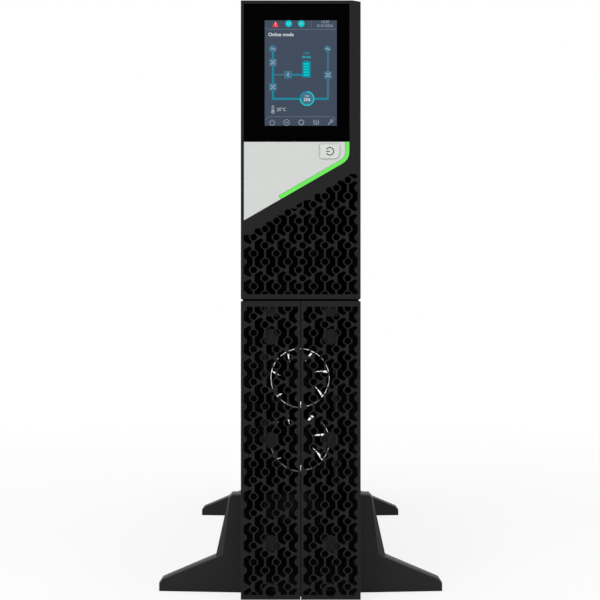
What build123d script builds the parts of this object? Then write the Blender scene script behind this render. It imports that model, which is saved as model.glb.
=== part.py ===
from build123d import *

import math
import os

# Rack-tower uninterruptible power supply, standing on its tower feet.
# Millimetres. +Z is up, the front looks towards -Y and the floor is Z = 0.

# Overall sizes
BEZEL_WIDTH = 88.0
BEZEL_HEIGHT = 440.0
BEZEL_DEPTH = 6.0
BODY_DEPTH = 600.0
BEZEL_OVERHANG = 1.0
SHEET = 1.2

# Front panels
FRONT_WALL = 3.0
SKIRT = 1.5
PANEL_GAP = 1.4
SEAM = 0.5
CORNER_CUT = 0.8
TOP_CUT_LENGTH = 6.0
TOP_CUT_DROP = 1.0

# Display, label panel, green strip and power button
RECESS = 1.5
FIT = 0.15
GLASS_LEFT_MARGIN = 2.3
GLASS_TOP_MARGIN = 2.6
GLASS_WIDTH = 77.4
GLASS_HEIGHT = 101.3
SCREEN_WIDTH = 52.9
SCREEN_HEIGHT = 77.2
SCREEN_TOP_MARGIN = 12.1
SCREEN_RIGHT_MARGIN = 9.25
SCREEN_SUNK = 0.2
LABEL_LEFT_HEIGHT = 57.7
LABEL_ANGLE = 30.0
LABEL_CORNER_R = 10.8
LABEL_PROUD = 0.4
STRIP_WIDTH = 2.9
STRIP_LENGTH = 58.0
BUTTON_WIDTH = 14.5
BUTTON_HEIGHT = 10.6
BUTTON_RIGHT_MARGIN = 7.1
BUTTON_TOP_MARGIN = 1.9
BUTTON_CORNER_R = 1.3
BUTTON_BIG_CORNER_R = 4.5
BUTTON_GAP = 0.3
BUTTON_FLANGE = 1.2
BUTTON_TRAVEL = 1.0
BUTTON_STOP = 0.2

# Grille of round holes and S-shaped slots
COLUMN = 8.38
ROW = 12.03
HOLE_R = 2.7
HOLE_SIDES = 4
RING_HALF = 3.75
RING_KNEE = 3.3
BAR_HALF = 0.83
SLOT_TIP_X = 1.8
SLOT_TIP_Z = 1.3
COLUMNS = 6
MIDDLE_COLUMN = 1.4
GRILLE_MARGIN = 2.0
LOWER_GRILLE_TOP = 4.1
LOWER_GRILLE_BOTTOM = 3.4
LOWER_FIRST_ROW = 11.3
UPPER_GRILLE_BOTTOM = 3.5
UPPER_FIRST_ROW = 45.5
UPPER_GRILLE_DROP = 11.0
SMALLEST_HOLE = 2.0
ROUND_LIMIT = 0.6
FINGER_HOLE_R = 3.86
FINGER_HOLE_WALL = 1.6
FINGER_TUBE_WALL = 1.2
FINGER_HOLE_Z = 5.9
POST_R = 6.0
POST_SIDES = 8
POST_FIRST_Z = 41.0
POST_PITCH = 76.0
POSTS = 3
LATCH_WIDTH = 11.0
LATCH_HEIGHT = 8.0
LATCH_DROP = 3.2

# Sheet-metal case
COVER_LIP = 10.0
EAR_HOLE_R = 2.1
EAR_HOLE_X = 40.0
EAR_HOLE_SETBACK = 15.0

# Fans
FAN_SIZE = 80.0
FAN_THICKNESS = 25.0
FAN_PITCH = 82.0
LOWER_FAN_Z = 64.0
FAN_BORE_R = 38.0
BORE_SIDES = 24
FAN_TIP_GAP = 1.2
FAN_HUB_R = 16.0
HUB_SIDES = 14
FAN_SCREW_PITCH = 71.5
FAN_FLANGE = 4.5
FAN_CORNER_CUT = 11.0
STRUT_WIDTH = 4.0
STRUT_THICKNESS = 3.5
STRUTS = 4
BLADES = 7
BLADE_STEPS = 2
BLADE_THICKNESS = 1.6
BLADE_ROOT_CHORD = 15.0
BLADE_ROOT_ANGLE = 48.0
BLADE_TIP_CHORD = 31.0
BLADE_TIP_ANGLE = 27.0
BLADE_SWEEP = 14.0
BLADE_ROOT_INSET = 3.0
ROTOR_DEPTH = 19.0
ROTOR_GAP = 0.4

# Finger guards
WIRE = 1.6
GUARD_STANDOFF = 6.6
GUARD_RINGS = 4
GUARD_RING_STEP = 9.0
GUARD_FIRST_RING = 9.5
GUARD_SIDES = 12
GUARD_EYE = 3.6

# Rear sockets and covers
INLET_WIDTH = 31.0
INLET_HEIGHT = 24.0
INLET_WELL_WIDTH = 24.4
INLET_WELL_HEIGHT = 16.4
INLET_DEPTH = 22.0
INLET_WELL_DEPTH = 17.0
INLET_PIN_LENGTH = 12.0
SOCKET_FLANGE = 2.0
INLET_X = -20.0
INLET_RISE = 76.0
OUTLET_WIDTH = 32.0
OUTLET_PITCH = 26.0
OUTLETS = 3
OUTLET_X = 20.0
OUTLET_DROP = 77.0
OUTLET_WELL_WIDTH = 25.0
OUTLET_WELL_HEIGHT = 17.0
OUTLET_CORE_WIDTH = 20.0
OUTLET_CORE_HEIGHT = 12.0
OUTLET_DEPTH = 20.0
OUTLET_WELL_DEPTH = 16.0
SOCKET_CORNER = 4.0
PIN_WIDTH = 2.0
PIN_HEIGHT = 4.5
PIN_SPREAD = 7.0
PIN_OFFSET = 2.0
CARD_WIDTH = 34.0
CARD_HEIGHT = 86.0
CARD_X = 20.0
CARD_RISE = 60.0
CARD_OPENING_LIP = 4.0
USB_WIDTH = 12.0
USB_HEIGHT = 11.0
USB_X = -20.0
SERIAL_WIDTH = 31.0
SERIAL_HEIGHT = 12.5
SERIAL_X = 18.0
PORT_DROP = 23.0
PORT_DEPTH = 12.0
PORT_PROUD = 1.5
PORT_WALL = 1.5
USB_TONGUE = 5.6
USB_WELL_DEPTH = 9.0
SERIAL_SHELL_WIDTH = 17.0
SERIAL_SHELL_HEIGHT = 8.4
SERIAL_SHELL_TAPER = 1.5
SERIAL_PROUD = 5.0
SERIAL_WELL_DEPTH = 4.5
SERIAL_WALL = 0.6
HARDWARE_SIDES = 12
BREAKER_R = 7.5
BREAKER_BUTTON_R = 4.5
BREAKER_RISE = 47.0
BREAKER_PROUD = 4.0
BREAKER_DEPTH = 30.0
BREAKER_NUT_R = 9.5
STUD_R = 2.5
STUD_PROUD = 5.0
STUD_NUT = 4.6
STUD_HEAD = 3.0
STUD_RISE = 22.0

# Tower feet
STAND_BASE = 3.0
STAND_FIT = 0.2
STAND_SETBACK = 31.0
STAND_PITCH = 358.0
STAND_DEPTH = 26.0
STAND_SWEEP = 5.0
STAND_LEAN = 2.0
STAND_BEVEL = 5.0
STAND_REACH = 109.4
TIP_HEIGHT = 5.6
TIP_CUT_X = 2.7
TIP_CUT_Z = 3.9
CROTCH_X = 65.4
CROTCH_Z = 26.6
FIN_TOP_X = 55.3
FIN_TOP_Z = 74.8
FIN_CUT = 2.4
BEVEL_EDGE = 0.75
BEVEL_CROTCH = 5.6

# Places worked out from the sizes above
BUTTON_PROUD = LABEL_PROUD + BUTTON_TRAVEL + BUTTON_STOP
REAR_PROUD = GUARD_STANDOFF
FRONT_Y = -(BODY_DEPTH + REAR_PROUD - BUTTON_PROUD) / 2
CASE_BOTTOM = STAND_BASE
BEZEL_BOTTOM = CASE_BOTTOM - BEZEL_OVERHANG
BEZEL_TOP = BEZEL_BOTTOM + BEZEL_HEIGHT
CASE_TOP = BEZEL_TOP - BEZEL_OVERHANG
HALF_BEZEL = BEZEL_WIDTH / 2
HALF_CASE = HALF_BEZEL - BEZEL_OVERHANG
SPLIT_Z = (BEZEL_BOTTOM + BEZEL_TOP) / 2
UPPER_BOTTOM = SPLIT_Z + PANEL_GAP / 2
LOWER_TOP = SPLIT_Z - PANEL_GAP / 2
REAR_INNER = BODY_DEPTH - SHEET
GLASS_LEFT = -HALF_BEZEL + GLASS_LEFT_MARGIN
GLASS_RIGHT = GLASS_LEFT + GLASS_WIDTH
GLASS_TOP = BEZEL_TOP - GLASS_TOP_MARGIN
LABEL_TOP = GLASS_TOP - GLASS_HEIGHT
LABEL_TURN = math.radians(LABEL_ANGLE)
LABEL_SLOPE = math.tan(LABEL_TURN)
LABEL_LOW_LEFT = LABEL_TOP - LABEL_LEFT_HEIGHT
LABEL_LOW_RIGHT = LABEL_LOW_LEFT + GLASS_WIDTH * LABEL_SLOPE
BUTTON_X = GLASS_RIGHT - BUTTON_RIGHT_MARGIN - BUTTON_WIDTH / 2
BUTTON_Z = LABEL_TOP - BUTTON_TOP_MARGIN - BUTTON_HEIGHT / 2
FAN_HEIGHTS = {"lower": LOWER_FAN_Z, "upper": LOWER_FAN_Z + FAN_PITCH}
FAN_TOP = LOWER_FAN_Z + FAN_PITCH + FAN_SIZE / 2
FAN_FRONT = REAR_INNER - FAN_THICKNESS
STRUT_FRONT = REAR_INNER - STRUT_THICKNESS
ROTOR_R = FAN_BORE_R - FAN_TIP_GAP
STUD_Z = FAN_TOP + STUD_RISE
BREAKER_Z = FAN_TOP + BREAKER_RISE
CARD_Z = FAN_TOP + CARD_RISE
INLET_Z = FAN_TOP + INLET_RISE
OUTLET_FIRST_Z = CASE_TOP - OUTLET_DROP - (OUTLETS - 1) * OUTLET_PITCH
PORT_Z = CASE_TOP - PORT_DROP
STAND_INNER = HALF_CASE + STAND_FIT


def slab(shape, near, thick):
    """Solid of an outline drawn in X and Z, from a depth behind the front face."""
    plane = Plane((0, FRONT_Y + near, 0), x_dir=(1, 0, 0), z_dir=(0, -1, 0))
    return extrude(plane * shape, amount=thick, dir=(0, 1, 0))


def block(x, depth, z):
    """Box from its low and high X, depth behind the front face, and Z."""
    size = Box(x[1] - x[0], depth[1] - depth[0], z[1] - z[0])
    middle = ((x[0] + x[1]) / 2, FRONT_Y + (depth[0] + depth[1]) / 2, (z[0] + z[1]) / 2)
    return Pos(*middle) * size


def outline(*points):
    """Flat polygon in X and Z."""
    return Polygon(*points, align=None)


def centred(width, height, x, z):
    """Flat rectangle about a point in X and Z."""
    return Pos(x, z) * Rectangle(width, height)


def faceted(radius, sides, x, z):
    """Flat polygon of equal sides about a point in X and Z, for what is small or repeats."""
    return Pos(x, z) * RegularPolygon(radius, sides)


def grown(shape, amount):
    """Flat shape with its edges moved outwards and its corners left sharp."""
    return offset(shape, amount=amount, kind=Kind.INTERSECTION)


def corner_at(shape, x, z):
    """Corner of a flat shape nearest to a point."""
    return min(shape.vertices(), key=lambda v: (v.X - x) ** 2 + (v.Y - z) ** 2)


def corners(shape, x, z, radius):
    """Flat shape with its corner nearest to a point rounded."""
    return fillet(corner_at(shape, x, z), radius)


def skinned(sections, sides):
    """Solid between flat cross-sections, with two flat facets for each side between two corners."""
    loops = [sections[0], sections[-1]]
    for inner, outer in zip(sections, sections[1:]):
        for i, j in sides:
            loops += [(inner[i], inner[j], outer[j]), (inner[i], outer[j], outer[i])]
    return Solid(Shell([Face(Wire.make_polygon(loop)) for loop in loops]))


def slot_outline(x, width, z):
    """One S-shaped slot between two columns of round holes, centred between its webs."""
    upper = [
        (RING_HALF, 0),
        (BAR_HALF, RING_KNEE),
        (BAR_HALF, ROW - RING_KNEE),
        (width - SLOT_TIP_X, ROW - SLOT_TIP_Z),
        (width - RING_HALF, ROW / 2),
        (width - BAR_HALF, ROW / 2 - RING_KNEE),
    ]
    lower = [(px, -pz) for px, pz in reversed(upper[1:])]
    return outline(*[(x + px, z + pz) for px, pz in upper + lower])


def grille_holes(columns, first_row, border, ceiling=None, keep_clear=None):
    """Faces of the round holes and slots of one grille field, cut off at its border."""
    box = border.bounding_box()
    frame = centred(box.size.X, box.size.Y, box.center().X, box.center().Y)
    if keep_clear is not None:
        border, frame = border - keep_clear, frame - keep_clear
    first = math.floor((box.min.Y - first_row) / ROW) - 2
    last = math.ceil((box.max.Y - first_row) / ROW) + 2
    faces = []
    for index, x in enumerate(columns):
        start = first_row if index % 2 else first_row - ROW / 2
        has_holes = abs(x - box.center().X) < box.size.X / 2 - HOLE_R
        shapes = []
        for row in range(first, last + 1):
            z = start + row * ROW
            if has_holes:
                whole = ceiling is None or z < ceiling(x) - ROUND_LIMIT
                shapes.append(faceted(HOLE_R, HOLE_SIDES, x, z) & (frame if whole else border))
            if row % 2 and index + 1 < len(columns):
                shapes.append(slot_outline(x, columns[index + 1] - x, z) & border)
        for shape in shapes:
            faces += [face for face in shape.faces() if face.area > SMALLEST_HOLE]
    return faces


def pierced(shape, holes):
    """Flat shape with the given faces taken out of it."""
    return Face(shape.face().outer_wire(), [hole.outer_wire() for hole in holes])


def front_panel(shape, holes):
    """Moulded panel: a pierced front wall with a skirt behind its edge."""
    wall = slab(pierced(shape, holes), 0, FRONT_WALL)
    rim = shape - offset(shape, amount=-SKIRT)
    return wall + slab(rim, FRONT_WALL, BEZEL_DEPTH - FRONT_WALL)


def label_outline():
    """Outline of label panel and green strip together, with its rounded lower right corner."""
    shape = outline(
        (GLASS_LEFT, LABEL_TOP),
        (GLASS_RIGHT, LABEL_TOP),
        (GLASS_RIGHT, LABEL_LOW_RIGHT),
        (GLASS_LEFT, LABEL_LOW_LEFT),
    )
    return corners(shape, GLASS_RIGHT, LABEL_LOW_RIGHT, LABEL_CORNER_R)


def inside_strip(width):
    """The part of the label that lies further than a width from its right and lower edges."""
    right = GLASS_RIGHT - width
    rise = width / math.cos(LABEL_TURN)
    corner_z = LABEL_LOW_RIGHT - width * LABEL_SLOPE + rise
    left = GLASS_LEFT - width
    top = LABEL_TOP + width
    shape = outline(
        (left, top),
        (right, top),
        (right, corner_z),
        (left, corner_z - (right - left) * LABEL_SLOPE),
    )
    return corners(shape, right, corner_z, LABEL_CORNER_R - width)


def past_strip_end(extra):
    """The lower left side of the label, which the strip does not reach."""
    along = Vector(-math.cos(LABEL_TURN), -math.sin(LABEL_TURN))
    across = Vector(-along.Y, along.X)
    end = Vector(GLASS_RIGHT, LABEL_LOW_RIGHT) + along * (STRIP_LENGTH + extra)
    far = GLASS_WIDTH
    points = [end + across * far, end - across * far]
    points += [points[1] + along * far, points[0] + along * far]
    return outline(*[(point.X, point.Y) for point in points])


def strip_outline(extra=0.0):
    """Outline of the green strip, wider and longer by a clearance."""
    return label_outline() - inside_strip(STRIP_WIDTH + extra) - past_strip_end(extra)


def button_box(extra=0.0):
    """Rectangle round the power button, larger by a clearance on every side."""
    return centred(BUTTON_WIDTH + 2 * extra, BUTTON_HEIGHT + 2 * extra, BUTTON_X, BUTTON_Z)


def button_outline():
    """Power button: a rectangle with small round corners and one large one."""
    left, right = BUTTON_X - BUTTON_WIDTH / 2, BUTTON_X + BUTTON_WIDTH / 2
    low, top = BUTTON_Z - BUTTON_HEIGHT / 2, BUTTON_Z + BUTTON_HEIGHT / 2
    shape = corners(button_box(), right, low, BUTTON_BIG_CORNER_R)
    for x, z in ((left, low), (left, top), (right, top)):
        shape = corners(shape, x, z, BUTTON_CORNER_R)
    return shape


def screen_outline():
    """Visible face of the display."""
    middle_x = GLASS_RIGHT - SCREEN_RIGHT_MARGIN - SCREEN_WIDTH / 2
    middle_z = GLASS_TOP - SCREEN_TOP_MARGIN - SCREEN_HEIGHT / 2
    return centred(SCREEN_WIDTH, SCREEN_HEIGHT, middle_x, middle_z)


def display_outline():
    """Black glass round the display."""
    middle_x = (GLASS_LEFT + GLASS_RIGHT) / 2
    middle_z = (GLASS_TOP + LABEL_TOP + FIT) / 2
    return centred(GLASS_WIDTH, GLASS_TOP - LABEL_TOP - FIT, middle_x, middle_z)


def upper_front_panel():
    """Upper front panel with the display recess and the slanting grille."""
    shape = outline(
        (-HALF_BEZEL, UPPER_BOTTOM),
        (HALF_BEZEL, UPPER_BOTTOM),
        (HALF_BEZEL, BEZEL_TOP - TOP_CUT_DROP),
        (HALF_BEZEL - TOP_CUT_LENGTH, BEZEL_TOP),
        (-HALF_BEZEL, BEZEL_TOP),
    )
    for side in (-1, 1):
        shape = chamfer(corner_at(shape, side * HALF_BEZEL, UPPER_BOTTOM), CORNER_CUT)

    def ceiling(x):
        return LABEL_LOW_LEFT - UPPER_GRILLE_DROP + (x - GLASS_LEFT) * LABEL_SLOPE

    side = HALF_BEZEL - GRILLE_MARGIN
    low = UPPER_BOTTOM + UPPER_GRILLE_BOTTOM
    border = outline((-side, low), (side, low), (side, ceiling(side)), (-side, ceiling(-side)))
    left = [-HALF_BEZEL / 2 + (i - (COLUMNS - 1) / 2) * COLUMN for i in range(COLUMNS)]
    right = [-x for x in reversed(left)]
    left[-1] = -MIDDLE_COLUMN
    right[0] = MIDDLE_COLUMN
    holes = []
    for columns in (left, right):
        holes += grille_holes(columns, UPPER_BOTTOM + UPPER_FIRST_ROW, border, ceiling)
    panel = front_panel(shape, holes)
    recess = grown(label_outline() + display_outline() + gap_filler(), FIT)
    panel -= slab(recess, 0, RECESS)
    return panel - slab(button_box(BUTTON_GAP), 0, FRONT_WALL)


def gap_filler():
    """Joins the outlines of glass and label across the gap between them."""
    middle = (GLASS_LEFT + GLASS_RIGHT) / 2
    return centred(GLASS_WIDTH, 2 * FIT, middle, LABEL_TOP)


def lower_grille_panel(side):
    """Left (-1) or right (1) lower front panel, all grille."""
    seam, edge = side * SEAM / 2, side * HALF_BEZEL
    shape = outline((seam, BEZEL_BOTTOM), (edge, BEZEL_BOTTOM), (edge, LOWER_TOP), (seam, LOWER_TOP))
    shape = chamfer(corner_at(shape, edge, LOWER_TOP), CORNER_CUT)
    middle = side * HALF_BEZEL / 2
    width = HALF_BEZEL - 2 * GRILLE_MARGIN
    low = BEZEL_BOTTOM + LOWER_GRILLE_BOTTOM
    high = LOWER_TOP - LOWER_GRILLE_TOP
    border = centred(width, high - low, middle, (low + high) / 2)
    hole_z = BEZEL_BOTTOM + FINGER_HOLE_Z
    boss = faceted(FINGER_HOLE_R + FINGER_HOLE_WALL, HARDWARE_SIDES, middle, hole_z)
    finger_hole = faceted(FINGER_HOLE_R, HARDWARE_SIDES, middle, hole_z)
    columns = [middle + (i - (COLUMNS - 1) / 2) * COLUMN for i in range(COLUMNS)]
    holes = grille_holes(columns, LOWER_TOP - LOWER_FIRST_ROW, border, keep_clear=boss)
    holes.append(finger_hole.face())
    tube = faceted(FINGER_HOLE_R + FINGER_TUBE_WALL, HARDWARE_SIDES, middle, hole_z)
    latch = centred(LATCH_WIDTH, LATCH_HEIGHT, middle, LOWER_TOP - LATCH_DROP - LATCH_HEIGHT / 2)
    backs = [tube - finger_hole, latch]
    for i in range(POSTS):
        backs.append(faceted(POST_R, POST_SIDES, middle, BEZEL_BOTTOM + POST_FIRST_Z + i * POST_PITCH))
    panel = front_panel(shape, holes)
    return panel + [slab(back, FRONT_WALL, BEZEL_DEPTH - FRONT_WALL) for back in backs]


def display_glass():
    """Black glass with the window that the display fills."""
    window = grown(screen_outline(), FIT)
    return slab(display_outline() - window, 0, RECESS)


def display_screen():
    """Display panel, a little below the face of the glass."""
    return slab(screen_outline(), SCREEN_SUNK, RECESS - SCREEN_SUNK)


def green_strip():
    """Bright strip along the right and lower edges of the label panel."""
    return slab(strip_outline(), -LABEL_PROUD, RECESS + LABEL_PROUD)


def label_panel():
    """Pale panel under the display, with its button hole."""
    shape = label_outline() - strip_outline(FIT) - offset(button_outline(), amount=BUTTON_GAP)
    return slab(shape, -LABEL_PROUD, RECESS + LABEL_PROUD)


def power_button():
    """Button cap with a flange that keeps it behind the panel."""
    flange_front = FRONT_WALL + BUTTON_GAP
    cap = slab(button_outline(), -BUTTON_PROUD, BUTTON_PROUD + flange_front)
    return cap + slab(button_box(BUTTON_GAP + BUTTON_FLANGE), flange_front, BUTTON_FLANGE)


def ear_holes(z):
    """Drills for the two rack-ear screws in the top or bottom of the case."""
    y = FRONT_Y + BEZEL_DEPTH + EAR_HOLE_SETBACK
    return [Pos(x, y, z) * Cylinder(EAR_HOLE_R, 3 * SHEET) for x in (-EAR_HOLE_X / 2, EAR_HOLE_X / 2)]


def chassis_tray():
    """Folded sheet: right side, top and bottom of the case."""
    shape = outline(
        (-HALF_CASE, CASE_BOTTOM),
        (HALF_CASE, CASE_BOTTOM),
        (HALF_CASE, CASE_TOP),
        (-HALF_CASE, CASE_TOP),
        (-HALF_CASE, CASE_TOP - SHEET),
        (HALF_CASE - SHEET, CASE_TOP - SHEET),
        (HALF_CASE - SHEET, CASE_BOTTOM + SHEET),
        (-HALF_CASE, CASE_BOTTOM + SHEET),
    )
    for z in (CASE_BOTTOM, CASE_TOP):
        shape = corners(shape, HALF_CASE, z, SHEET)
    tray = slab(shape, BEZEL_DEPTH, BODY_DEPTH - BEZEL_DEPTH)
    for z in (CASE_BOTTOM + SHEET / 2, CASE_TOP - SHEET / 2):
        tray -= ear_holes(z)
    return tray


def chassis_cover():
    """Left side of the case, with lips that lie inside the tray."""
    low, high = CASE_BOTTOM + SHEET, CASE_TOP - SHEET
    left = -HALF_CASE
    shape = outline(
        (left, low),
        (left + COVER_LIP, low),
        (left + COVER_LIP, low + SHEET),
        (left + SHEET, low + SHEET),
        (left + SHEET, high - SHEET),
        (left + COVER_LIP, high - SHEET),
        (left + COVER_LIP, high),
        (left, high),
    )
    return slab(shape, BEZEL_DEPTH, REAR_INNER - BEZEL_DEPTH)


def inlet_body_outline(extra=0.0):
    """Section of the mains inlet where it passes the rear panel."""
    width = INLET_WELL_WIDTH + 2 * PORT_WALL + 2 * extra
    return centred(width, INLET_WELL_HEIGHT + 2 * PORT_WALL + 2 * extra, INLET_X, INLET_Z)


def outlet_middle():
    """Height of the middle of an outlet block."""
    return OUTLET_FIRST_Z + (OUTLETS - 1) * OUTLET_PITCH / 2


def outlet_body_outline(side, extra=0.0):
    """Section of an outlet block where it passes the rear panel."""
    width = OUTLET_WELL_WIDTH + 2 * PORT_WALL + 2 * extra
    height = (OUTLETS - 1) * OUTLET_PITCH + OUTLET_WELL_HEIGHT + 2 * PORT_WALL + 2 * extra
    return centred(width, height, side * OUTLET_X, outlet_middle())


def usb_outline(extra=0.0):
    """Section of the USB port."""
    return centred(USB_WIDTH + 2 * extra, USB_HEIGHT + 2 * extra, USB_X, PORT_Z)


def serial_outline(extra=0.0):
    """Section of the serial port's shell: wider above than below."""
    half = SERIAL_SHELL_WIDTH / 2 + extra
    high = SERIAL_SHELL_HEIGHT / 2 + extra
    return outline(
        (SERIAL_X - half + SERIAL_SHELL_TAPER, PORT_Z - high),
        (SERIAL_X + half - SERIAL_SHELL_TAPER, PORT_Z - high),
        (SERIAL_X + half, PORT_Z + high),
        (SERIAL_X - half, PORT_Z + high),
    )


def fan_bore(z, extra=0.0):
    """Bore of a fan, no narrower than its circle."""
    return Pos(0, z) * RegularPolygon(FAN_BORE_R + extra, BORE_SIDES, major_radius=False)


def rear_panel():
    """Rear plate with the openings for fans, sockets and covers."""
    low, high = CASE_BOTTOM + SHEET, CASE_TOP - SHEET
    right = HALF_CASE - SHEET
    shape = outline((-HALF_CASE, low), (right, low), (right, high), (-HALF_CASE, high))
    holes = [fan_bore(z) for z in FAN_HEIGHTS.values()]
    holes += [outlet_body_outline(side, FIT) for side in (-1, 1)]
    holes += [inlet_body_outline(FIT), usb_outline(FIT), serial_outline(FIT)]
    holes.append(faceted(BREAKER_R + FIT, HARDWARE_SIDES, INLET_X, BREAKER_Z))
    holes.append(faceted(STUD_R + FIT, HARDWARE_SIDES, INLET_X, STUD_Z))
    opening = CARD_WIDTH - 2 * CARD_OPENING_LIP, CARD_HEIGHT - 2 * CARD_OPENING_LIP
    holes.append(centred(*opening, CARD_X, CARD_Z))
    return slab(pierced(shape, [hole.face() for hole in holes]), REAR_INNER, SHEET)


def fan_frame(z):
    """Square fan frame with a round bore, and the motor base on its struts."""
    frame = slab(centred(FAN_SIZE, FAN_SIZE, 0, z) - fan_bore(z), FAN_FRONT, FAN_THICKNESS)
    half = FAN_SIZE / 2
    cut_depth = FAN_THICKNESS - 2 * FAN_FLANGE
    for sx in (-1, 1):
        for sz in (-1, 1):
            corner = outline(
                (sx * half, z + sz * half),
                (sx * (half - FAN_CORNER_CUT), z + sz * half),
                (sx * half, z + sz * (half - FAN_CORNER_CUT)),
            )
            frame -= slab(corner, FAN_FRONT + FAN_FLANGE, cut_depth)
    arm = centred(2 * FAN_BORE_R + STRUT_WIDTH, STRUT_WIDTH, 0, 0)
    star = faceted(FAN_HUB_R, HUB_SIDES, 0, z)
    for i in range(STRUTS // 2):
        star += Pos(0, z) * Rot(0, 0, 180 / STRUTS + i * 360 / STRUTS) * arm
    star = star & fan_bore(z, FIT)
    return frame + slab(star, STRUT_FRONT, STRUT_THICKNESS)


def between(root, tip, share):
    """Value at a share of the way from a blade's root to its tip."""
    return root + (tip - root) * share


def blade_corners(share):
    """Corners of a blade's cross-section at a share of its length, about the fan's axis along Y."""
    radius = between(FAN_HUB_R - BLADE_ROOT_INSET, FAN_BORE_R, share)
    chord = between(BLADE_ROOT_CHORD, BLADE_TIP_CHORD, share)
    angle = between(BLADE_ROOT_ANGLE, BLADE_TIP_ANGLE, share)
    made = []
    for along, across in ((-1, -1), (1, -1), (1, 1), (-1, 1)):
        flat = Vector(0, -across * BLADE_THICKNESS / 2, along * chord / 2).rotate(Axis.X, angle)
        made.append((flat + Vector(radius, 0, 0)).rotate(Axis.Y, share * BLADE_SWEEP))
    return made


def fan_blade():
    """Twisted, swept blade made of flat facets between a few cross-sections."""
    sections = [blade_corners(i / BLADE_STEPS) for i in range(BLADE_STEPS + 1)]
    return skinned(sections, ((0, 1), (3, 2), (1, 2), (0, 3)))


def fan_rotor(z):
    """Hub with twisted, swept blades whose tips follow the bore."""
    across = Rot(90, 0, 0)
    reach = across * extrude(RegularPolygon(ROTOR_R, BORE_SIDES), amount=FAN_THICKNESS / 2, both=True)
    blade = fan_blade() & reach
    rotor = across * extrude(RegularPolygon(FAN_HUB_R, HUB_SIDES), amount=ROTOR_DEPTH / 2, both=True)
    rotor += [Rot(0, i * 360 / BLADES, 0) * blade for i in range(BLADES)]
    middle = STRUT_FRONT - ROTOR_GAP - ROTOR_DEPTH / 2
    return Pos(0, FRONT_Y + middle, z) * rotor


def fan_guard(z):
    """Wire finger guard: rings on crossed wires that end in eyes on the rear panel."""
    cross_near = BODY_DEPTH + GUARD_STANDOFF - 2 * WIRE
    ring_near = BODY_DEPTH + GUARD_STANDOFF - WIRE
    reach = FAN_SCREW_PITCH * math.sqrt(2)
    wires = []
    for angle in (45, -45):
        wires.append(slab(Pos(0, z) * Rot(0, 0, angle) * Rectangle(reach, WIRE), cross_near, WIRE))
    for i in range(GUARD_RINGS):
        radius = GUARD_FIRST_RING + i * GUARD_RING_STEP
        ring = faceted(radius + WIRE / 2, GUARD_SIDES, 0, z) - faceted(radius - WIRE / 2, GUARD_SIDES, 0, z)
        wires.append(slab(ring, ring_near, WIRE))
    half = FAN_SCREW_PITCH / 2
    for x in (-half, half):
        for dz in (-half, half):
            eye = faceted(GUARD_EYE, GUARD_SIDES // 2, x, z + dz)
            wires.append(slab(eye, BODY_DEPTH, GUARD_STANDOFF - WIRE))
    return wires[0] + wires[1:]


def socket_outline(width, height, x, z):
    """Three-pin socket shape: a rectangle with its two upper corners cut off."""
    left, right = x - width / 2, x + width / 2
    low, high = z - height / 2, z + height / 2
    return outline(
        (left, low),
        (right, low),
        (right, high - SOCKET_CORNER),
        (right - SOCKET_CORNER, high),
        (left + SOCKET_CORNER, high),
        (left, high - SOCKET_CORNER),
    )


def pin_outlines(x, z):
    """The three pins or pin slots of a socket: two below, the earth above."""
    places = ((-PIN_SPREAD, -PIN_OFFSET), (PIN_SPREAD, -PIN_OFFSET), (0, PIN_OFFSET))
    return [centred(PIN_WIDTH, PIN_HEIGHT, x + dx, z + dz) for dx, dz in places]


def mains_inlet():
    """Mains inlet: a flanged body with a well for the cord's connector."""
    flange = slab(centred(INLET_WIDTH, INLET_HEIGHT, INLET_X, INLET_Z), BODY_DEPTH, SOCKET_FLANGE)
    body = slab(inlet_body_outline(), BODY_DEPTH - INLET_DEPTH, INLET_DEPTH)
    well = socket_outline(INLET_WELL_WIDTH, INLET_WELL_HEIGHT, INLET_X, INLET_Z)
    well_floor = BODY_DEPTH + SOCKET_FLANGE - INLET_WELL_DEPTH
    return flange + body - slab(well, well_floor, INLET_WELL_DEPTH)


def inlet_pins():
    """Three flat pins that stand on the floor of the inlet's well."""
    well_floor = BODY_DEPTH + SOCKET_FLANGE - INLET_WELL_DEPTH
    pins = [slab(pin, well_floor, INLET_PIN_LENGTH) for pin in pin_outlines(INLET_X, INLET_Z)]
    return Compound(children=pins)


def outlet_block(side):
    """Column of outlets: a core with pin slots stands in each well."""
    x = side * OUTLET_X
    middle = outlet_middle()
    face = centred(OUTLET_WIDTH, OUTLETS * OUTLET_PITCH, x, middle)
    block_body = slab(face, BODY_DEPTH, SOCKET_FLANGE)
    block_body += slab(outlet_body_outline(side), BODY_DEPTH - OUTLET_DEPTH, OUTLET_DEPTH)
    well_floor = BODY_DEPTH + SOCKET_FLANGE - OUTLET_WELL_DEPTH
    cuts = []
    for i in range(OUTLETS):
        z = OUTLET_FIRST_Z + i * OUTLET_PITCH
        moat = socket_outline(OUTLET_WELL_WIDTH, OUTLET_WELL_HEIGHT, x, z)
        moat -= socket_outline(OUTLET_CORE_WIDTH, OUTLET_CORE_HEIGHT, x, z)
        cuts.append(slab(moat, well_floor, OUTLET_WELL_DEPTH))
        cuts += [slab(pin, well_floor, OUTLET_WELL_DEPTH) for pin in pin_outlines(x, z)]
    return block_body - cuts


def card_slot_cover():
    """Blank plate over the communication card slot."""
    return slab(centred(CARD_WIDTH, CARD_HEIGHT, CARD_X, CARD_Z), BODY_DEPTH, SHEET)


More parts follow.
